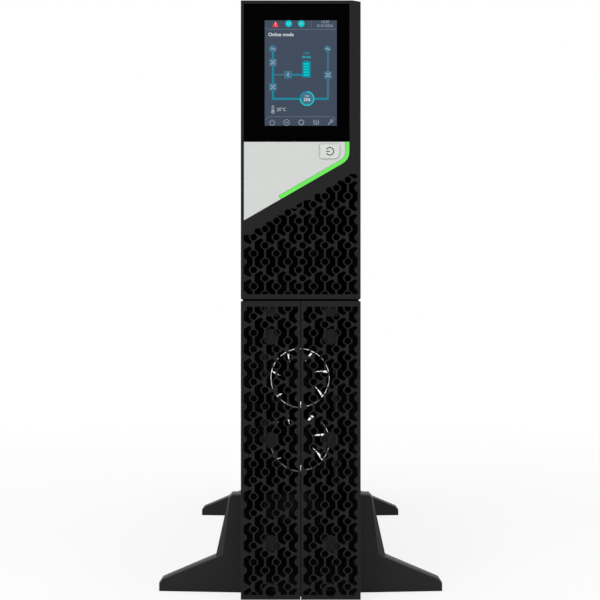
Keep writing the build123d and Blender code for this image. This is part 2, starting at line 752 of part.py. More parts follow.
def usb_port():
    """Square USB port with its tongue in a well."""
    body = slab(usb_outline(), BODY_DEPTH - PORT_DEPTH, PORT_DEPTH + PORT_PROUD)
    well = centred(USB_WIDTH - 2 * PORT_WALL, USB_HEIGHT - 2 * PORT_WALL, USB_X, PORT_Z)
    tongue = centred(USB_TONGUE, USB_TONGUE * 0.6, USB_X, PORT_Z)
    return body - slab(well - tongue, BODY_DEPTH - USB_WELL_DEPTH, USB_WELL_DEPTH + PORT_PROUD)


def serial_port():
    """Nine-way serial port: a flange with a tapered, hollow shell."""
    flange = slab(centred(SERIAL_WIDTH, SERIAL_HEIGHT, SERIAL_X, PORT_Z), BODY_DEPTH, PORT_PROUD)
    body = slab(serial_outline(), BODY_DEPTH - PORT_DEPTH, PORT_DEPTH + SERIAL_PROUD)
    well_floor = BODY_DEPTH + SERIAL_PROUD - SERIAL_WELL_DEPTH
    return flange + body - slab(serial_outline(-SERIAL_WALL), well_floor, SERIAL_WELL_DEPTH)


def circuit_breaker():
    """Push-to-reset breaker with its ring nut."""
    barrel = faceted(BREAKER_R, HARDWARE_SIDES, INLET_X, BREAKER_Z)
    body = slab(barrel, BODY_DEPTH - BREAKER_DEPTH, BREAKER_DEPTH)
    body += slab(faceted(BREAKER_NUT_R, 6, INLET_X, BREAKER_Z), BODY_DEPTH, SOCKET_FLANGE)
    button = faceted(BREAKER_BUTTON_R, HARDWARE_SIDES, INLET_X, BREAKER_Z)
    return body + slab(button, BODY_DEPTH, BREAKER_PROUD)


def earth_stud():
    """Earth stud with its nut on the rear panel."""
    shank = faceted(STUD_R, HARDWARE_SIDES, INLET_X, STUD_Z)
    stud = slab(shank, REAR_INNER - STUD_HEAD, STUD_HEAD + SHEET + STUD_PROUD)
    head = faceted(STUD_NUT, 6, INLET_X, STUD_Z)
    stud += slab(head, REAR_INNER - STUD_HEAD, STUD_HEAD)
    return stud + slab(head, BODY_DEPTH, STUD_HEAD)


def stand_face(points):
    """Front face of a foot: its free sides drawn in evenly, and the crotch moved up the slope."""
    free = [0, BEVEL_EDGE, BEVEL_EDGE, BEVEL_EDGE, BEVEL_EDGE, BEVEL_EDGE, BEVEL_EDGE, 0]
    sides = [Vector(*end) - Vector(*start) for start, end in zip(points, points[1:] + points[:1])]
    sides = [side.normalized() for side in sides]
    made = []
    for i, point in enumerate(points):
        before, after = sides[i - 1], sides[i]
        turn = before.X * after.Y - before.Y * after.X
        made.append(Vector(*point) + (after * free[i - 1] - before * free[i]) / turn)
    crotch = points.index((CROTCH_X, CROTCH_Z))
    made[crotch] += sides[crotch - 1] * BEVEL_CROTCH
    return [(point.X, point.Y) for point in made]


def stand_section(points, near, lean):
    """Corners of a foot's cross-section, swept back towards its tip and up its fin."""
    reach = STAND_REACH - STAND_INNER
    made = []
    for x, z in points:
        depth = near + lean * ((x - STAND_INNER) / reach * STAND_SWEEP + z / FIN_TOP_Z * STAND_LEAN)
        made.append((x, FRONT_Y + depth, z))
    return made


def stand(side, setback):
    """Left (-1) or right (1) foot with its fin and the plate under the case."""
    crest = [
        (STAND_INNER, 0),
        (STAND_REACH, 0),
        (STAND_REACH, TIP_HEIGHT),
        (STAND_REACH - TIP_CUT_X, TIP_HEIGHT + TIP_CUT_Z),
        (CROTCH_X, CROTCH_Z),
        (FIN_TOP_X, FIN_TOP_Z - FIN_CUT),
        (FIN_TOP_X - FIN_CUT, FIN_TOP_Z),
        (STAND_INNER, FIN_TOP_Z),
    ]
    face = stand_face(crest)
    back = setback + STAND_DEPTH
    sections = [
        stand_section(face, setback, 1),
        stand_section(crest, setback + STAND_BEVEL, 1),
        stand_section(crest, back - STAND_BEVEL, -1),
        stand_section(face, back, -1),
    ]
    count = len(crest)
    foot = skinned(sections, [(i, (i + 1) % count) for i in range(count)])
    foot += block((STAND_FIT / 2, STAND_INNER), (setback, back), (0, STAND_BASE))
    return foot if side > 0 else mirror(foot, Plane.YZ)


PARTS = {
    "chassis_tray": chassis_tray(),
    "chassis_cover": chassis_cover(),
    "rear_panel": rear_panel(),
    "upper_front_panel": upper_front_panel(),
    "lower_left_grille": lower_grille_panel(-1),
    "lower_right_grille": lower_grille_panel(1),
    "display_glass": display_glass(),
    "display_screen": display_screen(),
    "label_panel": label_panel(),
    "green_strip": green_strip(),
    "power_button": power_button(),
    "mains_inlet": mains_inlet(),
    "inlet_pins": inlet_pins(),
    "left_outlet_block": outlet_block(-1),
    "right_outlet_block": outlet_block(1),
    "card_slot_cover": card_slot_cover(),
    "usb_port": usb_port(),
    "serial_port": serial_port(),
    "circuit_breaker": circuit_breaker(),
    "earth_stud": earth_stud(),
}
for place, height in FAN_HEIGHTS.items():
    PARTS[f"{place}_fan_frame"] = fan_frame(height)
    PARTS[f"{place}_fan_rotor"] = fan_rotor(height)
    PARTS[f"{place}_fan_guard"] = fan_guard(height)
for end, setback in (("front", STAND_SETBACK), ("rear", STAND_SETBACK + STAND_PITCH)):
    PARTS[f"{end}_left_foot"] = stand(-1, setback)
    PARTS[f"{end}_right_foot"] = stand(1, setback)

os.makedirs("parts", exist_ok=True)
for name, part in PARTS.items():
    export_step(part, f"parts/{name}.step")
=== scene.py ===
from math import cos, pi, radians, sin, sqrt, tan

import bmesh
import bpy
from mathutils import Matrix, Vector


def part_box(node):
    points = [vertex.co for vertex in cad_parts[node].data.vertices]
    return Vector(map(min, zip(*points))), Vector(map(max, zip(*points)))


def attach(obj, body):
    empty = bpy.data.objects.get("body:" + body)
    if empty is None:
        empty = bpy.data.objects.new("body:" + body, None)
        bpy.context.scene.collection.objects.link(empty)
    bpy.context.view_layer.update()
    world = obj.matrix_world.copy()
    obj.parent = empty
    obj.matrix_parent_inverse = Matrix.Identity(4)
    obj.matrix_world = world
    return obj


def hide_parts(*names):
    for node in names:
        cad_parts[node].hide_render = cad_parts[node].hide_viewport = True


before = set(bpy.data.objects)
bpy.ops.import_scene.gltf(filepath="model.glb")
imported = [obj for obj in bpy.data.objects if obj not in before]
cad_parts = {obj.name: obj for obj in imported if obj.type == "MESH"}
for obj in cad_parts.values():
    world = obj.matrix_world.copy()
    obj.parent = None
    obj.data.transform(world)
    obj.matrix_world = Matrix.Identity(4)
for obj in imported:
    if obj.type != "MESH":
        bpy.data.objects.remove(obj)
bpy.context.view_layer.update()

# Rack-tower uninterruptible power supply on its tower feet.
# Outlines are drawn in millimetres in X and Z, with depths in millimetres behind the front face.

MM = 0.001
FRONT_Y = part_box("lower_left_grille")[0].y


def span(node):
    """Low and high corner of a CAD node in millimetres: X, depth behind the front face, Z."""
    return [Vector((p.x, p.y - FRONT_Y, p.z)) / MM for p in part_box(node)]


def centred(node):
    """Low and high corner of a CAD node, and the X and Z of its middle."""
    low, high = span(node)
    return low, high, (low.x + high.x) / 2, (low.z + high.z) / 2


# Places read from the frame
UPPER_LOW, UPPER_HIGH = span("upper_front_panel")
LOWER_LOW, LOWER_HIGH = span("lower_right_grille")
GLASS_LOW, GLASS_HIGH = span("display_glass")
SCREEN_LOW, SCREEN_HIGH = span("display_screen")
LABEL_LOW, LABEL_HIGH = span("label_panel")
CASE_LOW, CASE_HIGH = span("chassis_tray")
BUTTON_LOW, BUTTON_HIGH = span("power_button")
HALF_WIDTH = UPPER_HIGH.x
SEAM_X = LOWER_LOW.x
REAR = CASE_HIGH.y

# Front panels
PANEL_DEPTH = 6.0
WALL = 3.0
SKIRT = 1.5
RIM = 0.15
CORNER_R = 0.8
TOP_CUT = (6.0, 1.0)
RECESS = 1.5
RECESS_LEDGE = 1.0
FIT = 0.15
GLASS_EDGE = 0.1

# Grille
COLUMN = 8.38
ROW = 12.03
SPARE_ROWS = 3
HOLE_R = 2.45
HOLE_SIDES = 20
RING_SIDE = 3.47
RING_FLAT = 1.09
KNEE = 3.3
BAR = 0.75
SLOT_END = (2.9, 0.62)
ELBOW = (1.04, 2.47)
SLOT_R = 0.7
COLUMNS = 6
MIDDLE_COLUMN = 1.4
MARGIN = 2.0
LOWER_MARGINS = (3.4, 4.1)
LOWER_FIRST_ROW = 11.3
UPPER_MARGIN = 3.5
UPPER_FIRST_ROW = 45.5
UPPER_DROP = 11.0
ROUND_LIMIT = 0.6
SLOT_TOP_X = 2.0
SMALLEST_HOLE = 1.2
FINGER_R = 3.86
FINGER_Z = 5.9
BOSS_R = 5.5
TUBE_R = 6.3
POST_R = 6.0
POST_HEIGHTS = (41.0, 117.0, 193.0)
LATCH_SIZE = (11.0, 8.0)
LATCH_DROP = 3.2
BACK_NEAR = 2.4

# Label panel, green strip and power button
LABEL_TURN = radians(30.0)
LABEL_CORNER_R = 10.8
LABEL_PROUD = 0.4
LABEL_EDGE = 0.2
LABEL_SLOPE_WIDTH = 1.4
STRIP_WIDTH = 2.9
STRIP_LENGTH = 58.0
BUTTON_SIZE = (14.5, 10.6)
BUTTON_MARGINS = (7.1, 1.9)
BUTTON_R = 1.3
BUTTON_BIG_R = 5.0
BUTTON_GAP = 0.3
BUTTON_LIP = 0.1
BUTTON_LIP_DEPTH = 0.15
BUTTON_FLANGE = 1.2
BUTTON_EDGE = 0.4
INK = 0.03
SYMBOL_R = 2.75
SYMBOL_LINE = 0.75
SYMBOL_GAP = radians(31)
SYMBOL_STEPS = 40
SYMBOL_BAR = (-0.2, 0.1)
SYMBOL_BAR_R = 0.3

LABEL_SLOPE = tan(LABEL_TURN)
LABEL_ALONG = Vector((-cos(LABEL_TURN), -sin(LABEL_TURN)))
LABEL_ACROSS = Vector((-sin(LABEL_TURN), cos(LABEL_TURN)))
LABEL_CORNER = Vector((GLASS_HIGH.x, LABEL_LOW.z + (GLASS_HIGH.x - GLASS_LOW.x) * LABEL_SLOPE))


# Outlines

LONGEST_ROUND = 0.48
ROUND_STEPS = 8


def rounded(points, radius, steps=3):
    """Outline with its corners rounded by one radius or a list, less where a side is short."""
    radii = radius if isinstance(radius, (list, tuple)) else [radius] * len(points)
    made = []
    for i, corner in enumerate(points):
        corner = Vector(corner)
        back = Vector(points[i - 1]) - corner
        ahead = Vector(points[(i + 1) % len(points)]) - corner
        half = back.angle(ahead) / 2
        shortest = min(back.length, ahead.length)
        reach = min(radii[i] / tan(half), LONGEST_ROUND * shortest)
        start = corner + back.normalized() * reach
        end = corner + ahead.normalized() * reach
        for step in range(steps + 1):
            t = step / steps
            made.append(start.lerp(corner, t).lerp(corner.lerp(end, t), t))
    return made


def circle(radius, x=0.0, z=0.0, sides=32):
    """Round outline."""
    turns = [2 * pi * i / sides for i in range(sides)]
    return [Vector((x + radius * cos(t), z + radius * sin(t))) for t in turns]


def box_outline(low_x, high_x, low_z, high_z):
    """Rectangle, anticlockwise from its lower left corner."""
    return [Vector(p) for p in ((low_x, low_z), (high_x, low_z), (high_x, high_z), (low_x, high_z))]


def face(low, high):
    """Rectangle of a node seen from the front."""
    return box_outline(low.x, high.x, low.z, high.z)


def about(width, height, x, z):
    """Rectangle about a point."""
    return box_outline(x - width / 2, x + width / 2, z - height / 2, z + height / 2)


def inset(points, amount):
    """Anticlockwise outline moved inwards along every side, outwards by a negative amount."""
    made = []
    for i, corner in enumerate(points):
        before = (Vector(corner) - Vector(points[i - 1])).normalized()
        after = (Vector(points[(i + 1) % len(points)]) - Vector(corner)).normalized()
        normal = before.orthogonal() + after.orthogonal()
        made.append(Vector(corner) + normal * amount / (1 + before.dot(after)))
    return made


def bisect(shape, point, normal, **ways):
    """Splits a bmesh along a plane."""
    everything = shape.verts[:] + shape.edges[:] + shape.faces[:]
    bmesh.ops.bisect_plane(shape, geom=everything, plane_co=point, plane_no=normal, **ways)


def cut(outline, point, normal):
    """What stays of an outline when everything beyond a line is cut away."""
    if all((corner - point).dot(normal) <= 0 for corner in outline):
        return [outline]
    sheet = bmesh.new()
    sheet.faces.new([sheet.verts.new((*corner, 0)) for corner in outline])
    bisect(sheet, (*point, 0), (*normal, 0), clear_outer=True)
    kept = []
    for part in sheet.faces:
        if part.calc_area() > SMALLEST_HOLE:
            kept.append([corner.co.xy for corner in part.verts])
    sheet.free()
    return kept


# Meshes and pieces

FRONT_BOARD = Matrix.Translation((0, FRONT_Y, 0)) @ Matrix.Rotation(pi / 2, 4, "X")
MERGE = 0.002
FLAT_TURN = radians(0.5)


def run_through(curve, points, closed=True):
    """Adds straight runs through points to a curve."""
    spline = curve.splines.new("POLY")
    spline.points.add(len(points) - 1)
    for point, place in zip(spline.points, points):
        point.co = (*Vector(place).to_3d(), 1)
    spline.use_cyclic_u = closed


def as_mesh(curve, board, middle=(0, 0, 0)):
    """Mesh of a curve in millimetres, with its middle at a point of a drawing board."""
    holder = bpy.data.objects.new(curve.name, curve)
    mesh = bpy.data.meshes.new_from_object(holder)
    bpy.data.objects.remove(holder)
    bpy.data.curves.remove(curve)
    mesh.transform(board @ Matrix.Scale(MM, 4) @ Matrix.Translation(middle))
    return mesh


def slab(outlines, near, thick, rim=0.0, board=FRONT_BOARD):
    """Mesh of outlines with their holes, from a depth behind the board, with rounded rims."""
    curve = bpy.data.curves.new("outlines", "CURVE")
    curve.dimensions = "2D"
    curve.fill_mode = "BOTH"
    curve.extrude = thick / 2 - rim
    curve.bevel_depth = rim
    curve.bevel_resolution = 1
    curve.offset = -rim
    for outline in outlines:
        run_through(curve, outline)
    return as_mesh(curve, board, (0, 0, -(near + thick / 2)))


def as_data(shape, name):
    """Mesh of a bmesh, which is freed."""
    mesh = bpy.data.meshes.new(name)
    shape.to_mesh(mesh)
    shape.free()
    return mesh


def softened(node, rim, segments=2, limit=25.0):
    """Mesh of a CAD node with its sharp rims rounded."""
    shape = bmesh.new()
    shape.from_mesh(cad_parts[node].data)
    bmesh.ops.remove_doubles(shape, verts=shape.verts, dist=MERGE * MM)
    bmesh.ops.dissolve_limit(shape, angle_limit=FLAT_TURN, verts=shape.verts, edges=shape.edges)
    sharp = radians(limit)
    rims = [edge for edge in shape.edges if edge.is_manifold and edge.calc_face_angle() > sharp]
    ways = {"affect": "EDGES", "profile": 0.5, "material": -1, "clamp_overlap": True}
    bmesh.ops.bevel(shape, geom=rims, offset=rim * MM, segments=segments, **ways)
    return as_data(shape, node)


def placed(name, data):
    """New object in the scene."""
    made = bpy.data.objects.new(name, data)
    bpy.context.scene.collection.objects.link(made)
    return made


def piece(name, meshes, finish, body="body", stands_for=(), smooth=20.0):
    """One object joined from meshes, with its finish, riding on a CAD body."""
    shape = bmesh.new()
    for mesh in meshes:
        shape.from_mesh(mesh)
        bpy.data.meshes.remove(mesh)
    joined = as_data(shape, name)
    joined.materials.append(FINISHES[finish])
    for polygon in joined.polygons:
        polygon.material_index = 0
        polygon.use_smooth = True
    joined.set_sharp_from_angle(angle=radians(smooth))
    made = placed(name, joined)
    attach(made, body)
    if stands_for:
        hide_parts(*stands_for)


def soft_piece(name, node, rim, finish, smooth=30.0, **rounding):
    """Piece in the shape of a CAD node with rounded rims."""
    piece(name, [softened(node, rim, **rounding)], finish, stands_for=[node], smooth=smooth)


# Materials

NOISE_LOW, NOISE_HIGH = 0.3, 0.7
PATCH_MM = 40.0
GRAIN_SHARE = 0.25
BUMP_STRENGTH = 0.7
DOT_MM = 0.4
DOT_EDGE = 0.94
BRUSH_STRETCH = 12.0


def colour(code):
    """Linear colour of an sRGB hex value."""
    parts = [int(code[i:i + 2], 16) / 255 for i in (1, 3, 5)]
    return [p / 12.92 if p <= 0.04045 else ((p + 0.055) / 1.055) ** 2.4 for p in parts] + [1.0]


def add(tree, kind, sockets=None, **settings):
    """Adds a node with its settings, and sets or links its sockets."""
    node = tree.nodes.new("ShaderNode" + kind)
    for name, value in settings.items():
        setattr(node, name, value)
    for name, value in (sockets or {}).items():
        if isinstance(value, bpy.types.NodeSocket):
            tree.links.new(value, node.inputs[name])
        else:
            node.inputs[name].default_value = value
    return node


def started(name, **constants):
    """New material: its node tree, its shader and its Object coordinates."""
    made = bpy.data.materials.new(name)
    made.use_nodes = True
    tree = made.node_tree
    shader = tree.nodes["Principled BSDF"]
    for socket, value in constants.items():
        shader.inputs[socket.replace("_", " ")].default_value = value
    return made, tree, shader, add(tree, "TexCoord").outputs["Object"]


def toned(tree, shader, shade_by, gloss_by, dark, light, roughness):
    """Colour between two tones and roughness between two values, each led by a noise."""
    shade = add(tree, "ValToRGB", {"Fac": shade_by})
    shade.color_ramp.elements[0].color = colour(dark)
    shade.color_ramp.elements[1].color = colour(light)
    gloss = add(tree, "MapRange", {
        "Value": gloss_by, "From Min": NOISE_LOW, "From Max": NOISE_HIGH,
        "To Min": roughness[0], "To Max": roughness[1],
    })
    tree.links.new(shade.outputs["Color"], shader.inputs["Base Color"])
    tree.links.new(gloss.outputs["Result"], shader.inputs["Roughness"])


def grained(name, dark, light, roughness, grain_mm, relief_mm, specular, **constants):
    """Material of one colour with a fine grain, a slow change of shade and an uneven gloss."""
    made, tree, shader, place = started(name, Specular_IOR_Level=specular, **constants)
    grain = add(tree, "TexNoise", {"Vector": place, "Scale": 1 / (grain_mm * MM)})
    patch = add(tree, "TexNoise", {"Vector": place, "Scale": 1 / (PATCH_MM * MM), "Detail": 3.0})
    both = {0: grain.outputs["Fac"], 1: patch.outputs["Fac"], 2: GRAIN_SHARE}
    blend = add(tree, "Math", both, operation="MULTIPLY_ADD")
    toned(tree, shader, blend.outputs[0], patch.outputs["Fac"], dark, light, roughness)
    bump = add(tree, "Bump", {
        "Height": grain.outputs["Fac"], "Distance": relief_mm * MM, "Strength": BUMP_STRENGTH,
    })
    tree.links.new(bump.outputs["Normal"], shader.inputs["Normal"])
    return made


def lit(name, code):
    """Light of a display segment, even over its face."""
    made, tree, shader, place = started(
        name, Base_Color=(0, 0, 0, 1), Roughness=0.3, Specular_IOR_Level=0.0, Emission_Strength=1.0
    )
    dots = add(tree, "TexVoronoi", {"Vector": place, "Scale": 1 / (DOT_MM * MM)})
    shade = add(tree, "ValToRGB", {"Fac": dots.outputs["Distance"]})
    shade.color_ramp.elements[0].color = colour(code)
    shade.color_ramp.elements[1].color = [DOT_EDGE * c for c in colour(code)[:3]] + [1.0]
    tree.links.new(shade.outputs["Color"], shader.inputs["Emission Color"])
    return made


def liquid_crystal():
    """Backlit liquid crystal panel: dark slate, a little brighter towards its top."""
    made, tree, shader, place = started(
        "liquid_crystal_panel", Base_Color=colour("#06080A"), Roughness=0.12,
        Specular_IOR_Level=0.02, Emission_Strength=1.0,
    )
    split = add(tree, "SeparateXYZ", {"Vector": place})
    rise = add(tree, "MapRange", {
        "Value": split.outputs["Z"], "From Min": SCREEN_LOW.z * MM, "From Max": SCREEN_HIGH.z * MM,
    })
    shade = add(tree, "ValToRGB", {"Fac": rise.outputs["Result"]})
    shade.color_ramp.elements[0].color = colour("#3F4A5B")
    shade.color_ramp.elements[1].color = colour("#414C5D")
    tree.links.new(shade.outputs["Color"], shader.inputs["Emission Color"])
    return made


def metal(name, dark, light, roughness, brush_mm):
    """Bare metal with fine drawn lines and an uneven gloss."""
    made, tree, shader, place = started(name, Metallic=1.0)
    turned = add(tree, "Mapping", {"Vector": place, "Scale": (1.0, 1.0, BRUSH_STRETCH)})
    along = turned.outputs["Vector"]
    lines = add(tree, "TexNoise", {"Vector": along, "Scale": 1 / (brush_mm * MM)})
    toned(tree, shader, lines.outputs["Fac"], lines.outputs["Fac"], dark, light, roughness)
    return made


INKS = {
    "teal": ("display_teal", "#1C8BA0"),
    "bright": ("display_cyan", "#08CDD1"),
    "fill": ("display_slate_blue", "#45768E"),
    "line": ("display_grey", "#606878"),
    "icon": ("display_mid_grey", "#8F9AA6"),
    "pale": ("display_pale_grey", "#B4BEC8"),
    "white": ("display_white", "#E6EAEE"),
    "red": ("display_red", "#F53C40"),
}

FINISHES = {
    # ABS moulded in a spark-eroded tool: an even dark grey whose fine grain breaks up reflections.
    "front_plastic": grained(
        "abs_spark_eroded_black", "#1A1A1A", "#202020", (0.5, 0.62), 0.9, 0.05, 0.1
    ),
    # ABS moulded in a smoother tool: a lighter black whose reflections get a painted cool tint,
    # standing in for bluish light along its bevels.
    "foot_plastic": grained(
        "abs_satin_black", "#212121", "#272727", (0.36, 0.46), 1.2, 0.04, 0.1,
        Specular_Tint=colour("#E4EEF8")
    ),
    # Toughened glass printed black behind, with a coating that takes most of the reflection away.
    "display_glass": grained(
        "coated_black_glass", "#000000", "#010101", (0.05, 0.09), 6.0, 0.0, 0.01
    ),
    # Liquid crystal cell with its light behind it: slate blue that stays the same in a dark room.
    "display_screen": liquid_crystal(),
    # Lit segments of the display: flat colours that do not change with the light of the room.
    **{f"screen_{name}": lit(*made) for name, made in INKS.items()},
    # ABS painted pale grey: a flat, near neutral tone with the slight orange peel of sprayed paint.
    "label_plastic": grained(
        "abs_painted_pale_grey", "#CFD2CF", "#D4D7D4", (0.38, 0.48), 1.6, 0.02, 0.1
    ),
    # Polycarbonate coloured right through: saturated and glossy.
    "green_plastic": grained(
        "polycarbonate_bright_green", "#6CE65A", "#74EE62", (0.25, 0.33), 2.0, 0.01, 0.1
    ),
    # ABS painted with the label panel: a shade lighter than it all over, and glossier.
    "button_plastic": grained(
        "abs_painted_light_grey", "#D4D7D4", "#D8DBD8", (0.3, 0.4), 1.6, 0.015, 0.1
    ),
    # Pad-printed ink: flat dark grey.
    "symbol_ink": grained("pad_printed_ink", "#3A3D3D", "#424545", (0.55, 0.65), 0.6, 0.01, 0.2),
    # Powder-coated steel sheet: black with a fine orange peel that spreads highlights.
    "case_paint": grained(
        "steel_powder_coated_black", "#1C1C1C", "#232323", (0.52, 0.58), 1.4, 0.06, 0.2
    ),
    # Nylon filled with glass fibre: dull black with a faint mottle.
    "socket_plastic": grained(
        "nylon_glass_filled", "#161616", "#202020", (0.45, 0.6), 0.8, 0.03, 0.4
    ),
    # Nickel-plated brass: pale and bright with a warm cast.
    "pin_brass": metal("brass_nickel_plated", "#C9BFA5", "#DDD6C4", (0.22, 0.34), 0.5),
    # Tin-plated steel: grey, drawn lines, half bright.
    "port_steel": metal("steel_tin_plated", "#A9ACAF", "#C2C5C8", (0.25, 0.4), 0.6),
    # PBT fan plastic: black, glossier than the case.
    "fan_plastic": grained("pbt_fan_black", "#0D0D0D", "#131313", (0.35, 0.5), 1.5, 0.02, 0.3),
    # Steel wire with bright nickel plating: thin, clear highlights.
    "guard_wire": metal("wire_nickel_plated", "#B6B8BA", "#D2D4D6", (0.18, 0.28), 0.8),
}


def dress(node, finish):
    """Gives a CAD node that keeps its own shape a better finish."""
    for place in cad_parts[node].material_slots:
        place.material = FINISHES[finish]


# Front panels

def slot_outline(x, width, z):
    """S-shaped slot between two columns of round holes, centred between its two webs."""
    upper = [
        (RING_SIDE, RING_FLAT),
        (BAR, KNEE),
        (BAR, ROW - KNEE),
        (width - SLOT_END[0], ROW - SLOT_END[1]),
        (width - ELBOW[0], ROW - ELBOW[1]),
        (width - RING_SIDE, ROW / 2 + RING_FLAT),
        (width - RING_SIDE, ROW / 2 - RING_FLAT),
        (width - BAR, ROW / 2 - KNEE),
    ]
    lower = [(px, -pz) for px, pz in reversed(upper)]
    return [Vector((x + px, z + pz)) for px, pz in upper + lower]


def clear_of(boss, outline):
    """What the round boss of the finger hole leaves of one hole."""
    middles = [start.lerp(end, 0.5) for start, end in zip(outline, outline[1:] + outline[:1])]
    nearest = min(outline + middles, key=lambda point: (point - boss).length)
    if (nearest - boss).length > BOSS_R:
        return [outline]
    if (sum(outline, Vector((0, 0))) / len(outline) - boss).length < BOSS_R:
        return []
    way = (boss - nearest).normalized()
    return cut(outline, boss - way * BOSS_R, way)


def trimmed(outline, borders, boss):
    """What the borders of a grille field and the boss leave of one hole."""
    kept = [outline]
    for point, normal in borders:
        kept = [rest for one in kept for rest in cut(one, point, normal)]
    if boss is None:
        return kept
    return [rest for one in kept for rest in clear_of(boss, one)]


def grille_holes(columns, first_row, field, slant=None, boss=None):
    """Round holes and slots of one grille field, trimmed along its borders and its slant."""
    low_x, high_x, low, high = field
    borders = [(Vector((0, low)), Vector((0, -1))), (Vector((0, high)), Vector((0, 1)))]
    ceiling = borders + ([slant] if slant else [])
    first, last = [int((height - first_row) / ROW) for height in (low, high)]
    holes = []
    for index, x in enumerate(columns):
        start = first_row if index % 2 else first_row - ROW / 2
        for row in range(first - SPARE_ROWS, last + SPARE_ROWS + 1):
            z = start + row * ROW
            if low_x + HOLE_R < x < high_x - HOLE_R:
                whole = circle(HOLE_R, x, z, HOLE_SIDES)
                below = slant is None or (Vector((x, z)) - slant[0]).dot(slant[1]) < -ROUND_LIMIT
                for hole in trimmed(whole, borders if below else ceiling, boss):
                    holes.append(hole if hole is whole else rounded(hole, RIM, 1))
            if row % 2 and index + 1 < len(columns):
                slot = slot_outline(x, columns[index + 1] - x, z)
                slot = [Vector((min(max(point.x, low_x), high_x), point.y)) for point in slot]
                limits = list(ceiling)
                if slant:
                    reach = x + SLOT_TOP_X - slant[0].x
                    limits.append((slant[0] + Vector((reach, reach * LABEL_SLOPE)), Vector((0, 1))))
                holes += [rounded(hole, SLOT_R) for hole in trimmed(slot, limits, boss)]
    return holes


def label_band(width, length):
    """Corners along the strip: top, inner corner, inner end and outer end."""
    right = GLASS_HIGH.x - width
    corner = LABEL_CORNER.y - width * LABEL_SLOPE + width / cos(LABEL_TURN)
    end = LABEL_CORNER + LABEL_ALONG * length
    return Vector((right, LABEL_HIGH.z)), Vector((right, corner)), end + LABEL_ACROSS * width, end


def button_outline():
    """Corners of the power button, anticlockwise from its lower left."""
    right = GLASS_HIGH.x - BUTTON_MARGINS[0]
    top = LABEL_HIGH.z - BUTTON_MARGINS[1]
    return box_outline(right - BUTTON_SIZE[0], right, top - BUTTON_SIZE[1], top)


def button_shape(extra=0.0):
    """Rounded outline of the button, larger by a gap."""
    radii = [BUTTON_R + extra, BUTTON_BIG_R + extra, BUTTON_R + extra, BUTTON_R + extra]
    return rounded(inset(button_outline(), -extra), radii, 6)


def recess_outline(extra):
    """Outline round glass, label and strip together."""
    left, right = GLASS_LOW.x - extra, GLASS_HIGH.x + extra
    drop = extra / cos(LABEL_TURN)
    low_right = LABEL_CORNER.y - drop + extra * LABEL_SLOPE
    low_left = LABEL_LOW.z - drop - extra * LABEL_SLOPE
    top = GLASS_HIGH.z + extra
    corners = [(left, low_left), (right, low_right), (right, top), (left, top)]
    return rounded(corners, [RIM, LABEL_CORNER_R + extra, RIM, RIM], ROUND_STEPS)


def shell_walls(corners, radii, holes):
    """Front wall with its holes, and the skirt behind its edges."""
    edge = rounded(corners, radii)
    wall = slab([edge] + holes, 0, WALL, RIM)
    behind = WALL - RIM
    return [wall, slab([edge, inset(corners, SKIRT)], behind, PANEL_DEPTH - behind)]


def upper_panel():
    """Upper front panel with the display recess and the slanting grille."""
    low, high = UPPER_LOW.z, UPPER_HIGH.z
    half = HALF_WIDTH
    corners = [(-half, low), (half, low), (half, high - TOP_CUT[1])]
    corners += [(half - TOP_CUT[0], high), (-half, high)]
    radii = [CORNER_R, CORNER_R, RIM, RIM, RIM]
    field = (MARGIN - half, half - MARGIN, low + UPPER_MARGIN, LABEL_CORNER.y)
    slant = (Vector((GLASS_LOW.x, LABEL_LOW.z - UPPER_DROP)), LABEL_ACROSS)
    left = [-half / 2 + (i - (COLUMNS - 1) / 2) * COLUMN for i in range(COLUMNS)]
    right = [-x for x in reversed(left)]
    left[-1] = -MIDDLE_COLUMN
    right[0] = MIDDLE_COLUMN
    holes = []
    for columns in (left, right):
        holes += grille_holes(columns, low + UPPER_FIRST_ROW, field, slant)
    walls = shell_walls(corners, radii, [recess_outline(FIT)] + holes)
    floor = [recess_outline(RECESS_LEDGE), button_shape(BUTTON_GAP)]
    walls.append(slab(floor, RECESS, WALL - RECESS))
    piece("upper_panel", walls, "front_plastic", stands_for=["upper_front_panel"])


def lower_panel(side, name, node):
    """Left (-1) or right (1) lower front panel, all grille."""
    low, high = LOWER_LOW.z, LOWER_HIGH.z
    near, far = sorted((side * SEAM_X, side * HALF_WIDTH))
    corners = box_outline(near, far, low, high)
    radii = [RIM, RIM, CORNER_R, RIM] if side > 0 else [RIM, RIM, RIM, CORNER_R]
    middle = side * HALF_WIDTH / 2
    half = HALF_WIDTH / 2 - MARGIN
    field = (middle - half, middle + half, low + LOWER_MARGINS[0], high - LOWER_MARGINS[1])
    boss = Vector((middle, low + FINGER_Z))
    columns = [middle + (i - (COLUMNS - 1) / 2) * COLUMN for i in range(COLUMNS)]
    holes = grille_holes(columns, high - LOWER_FIRST_ROW, field, boss=boss)
    holes.append(circle(FINGER_R, *boss))
    walls = shell_walls(corners, radii, holes)
    tube = cut(circle(TUBE_R, *boss), Vector((0, low + SKIRT)), Vector((0, -1)))
    backs = [tube + [circle(FINGER_R + RIM, *boss)]]
    backs += [[circle(POST_R, middle, low + height)] for height in POST_HEIGHTS]
    latch_z = high - LATCH_DROP - LATCH_SIZE[1] / 2
    backs.append([rounded(about(*LATCH_SIZE, middle, latch_z), RIM)])
    walls += [slab(back, BACK_NEAR, PANEL_DEPTH - BACK_NEAR) for back in backs]
    piece(name, walls, "front_plastic", stands_for=[node])


upper_panel()
lower_panel(-1, "lower_panel_left", "lower_left_grille")
lower_panel(1, "lower_panel_right", "lower_right_grille")


# Display, label panel, green strip and power button

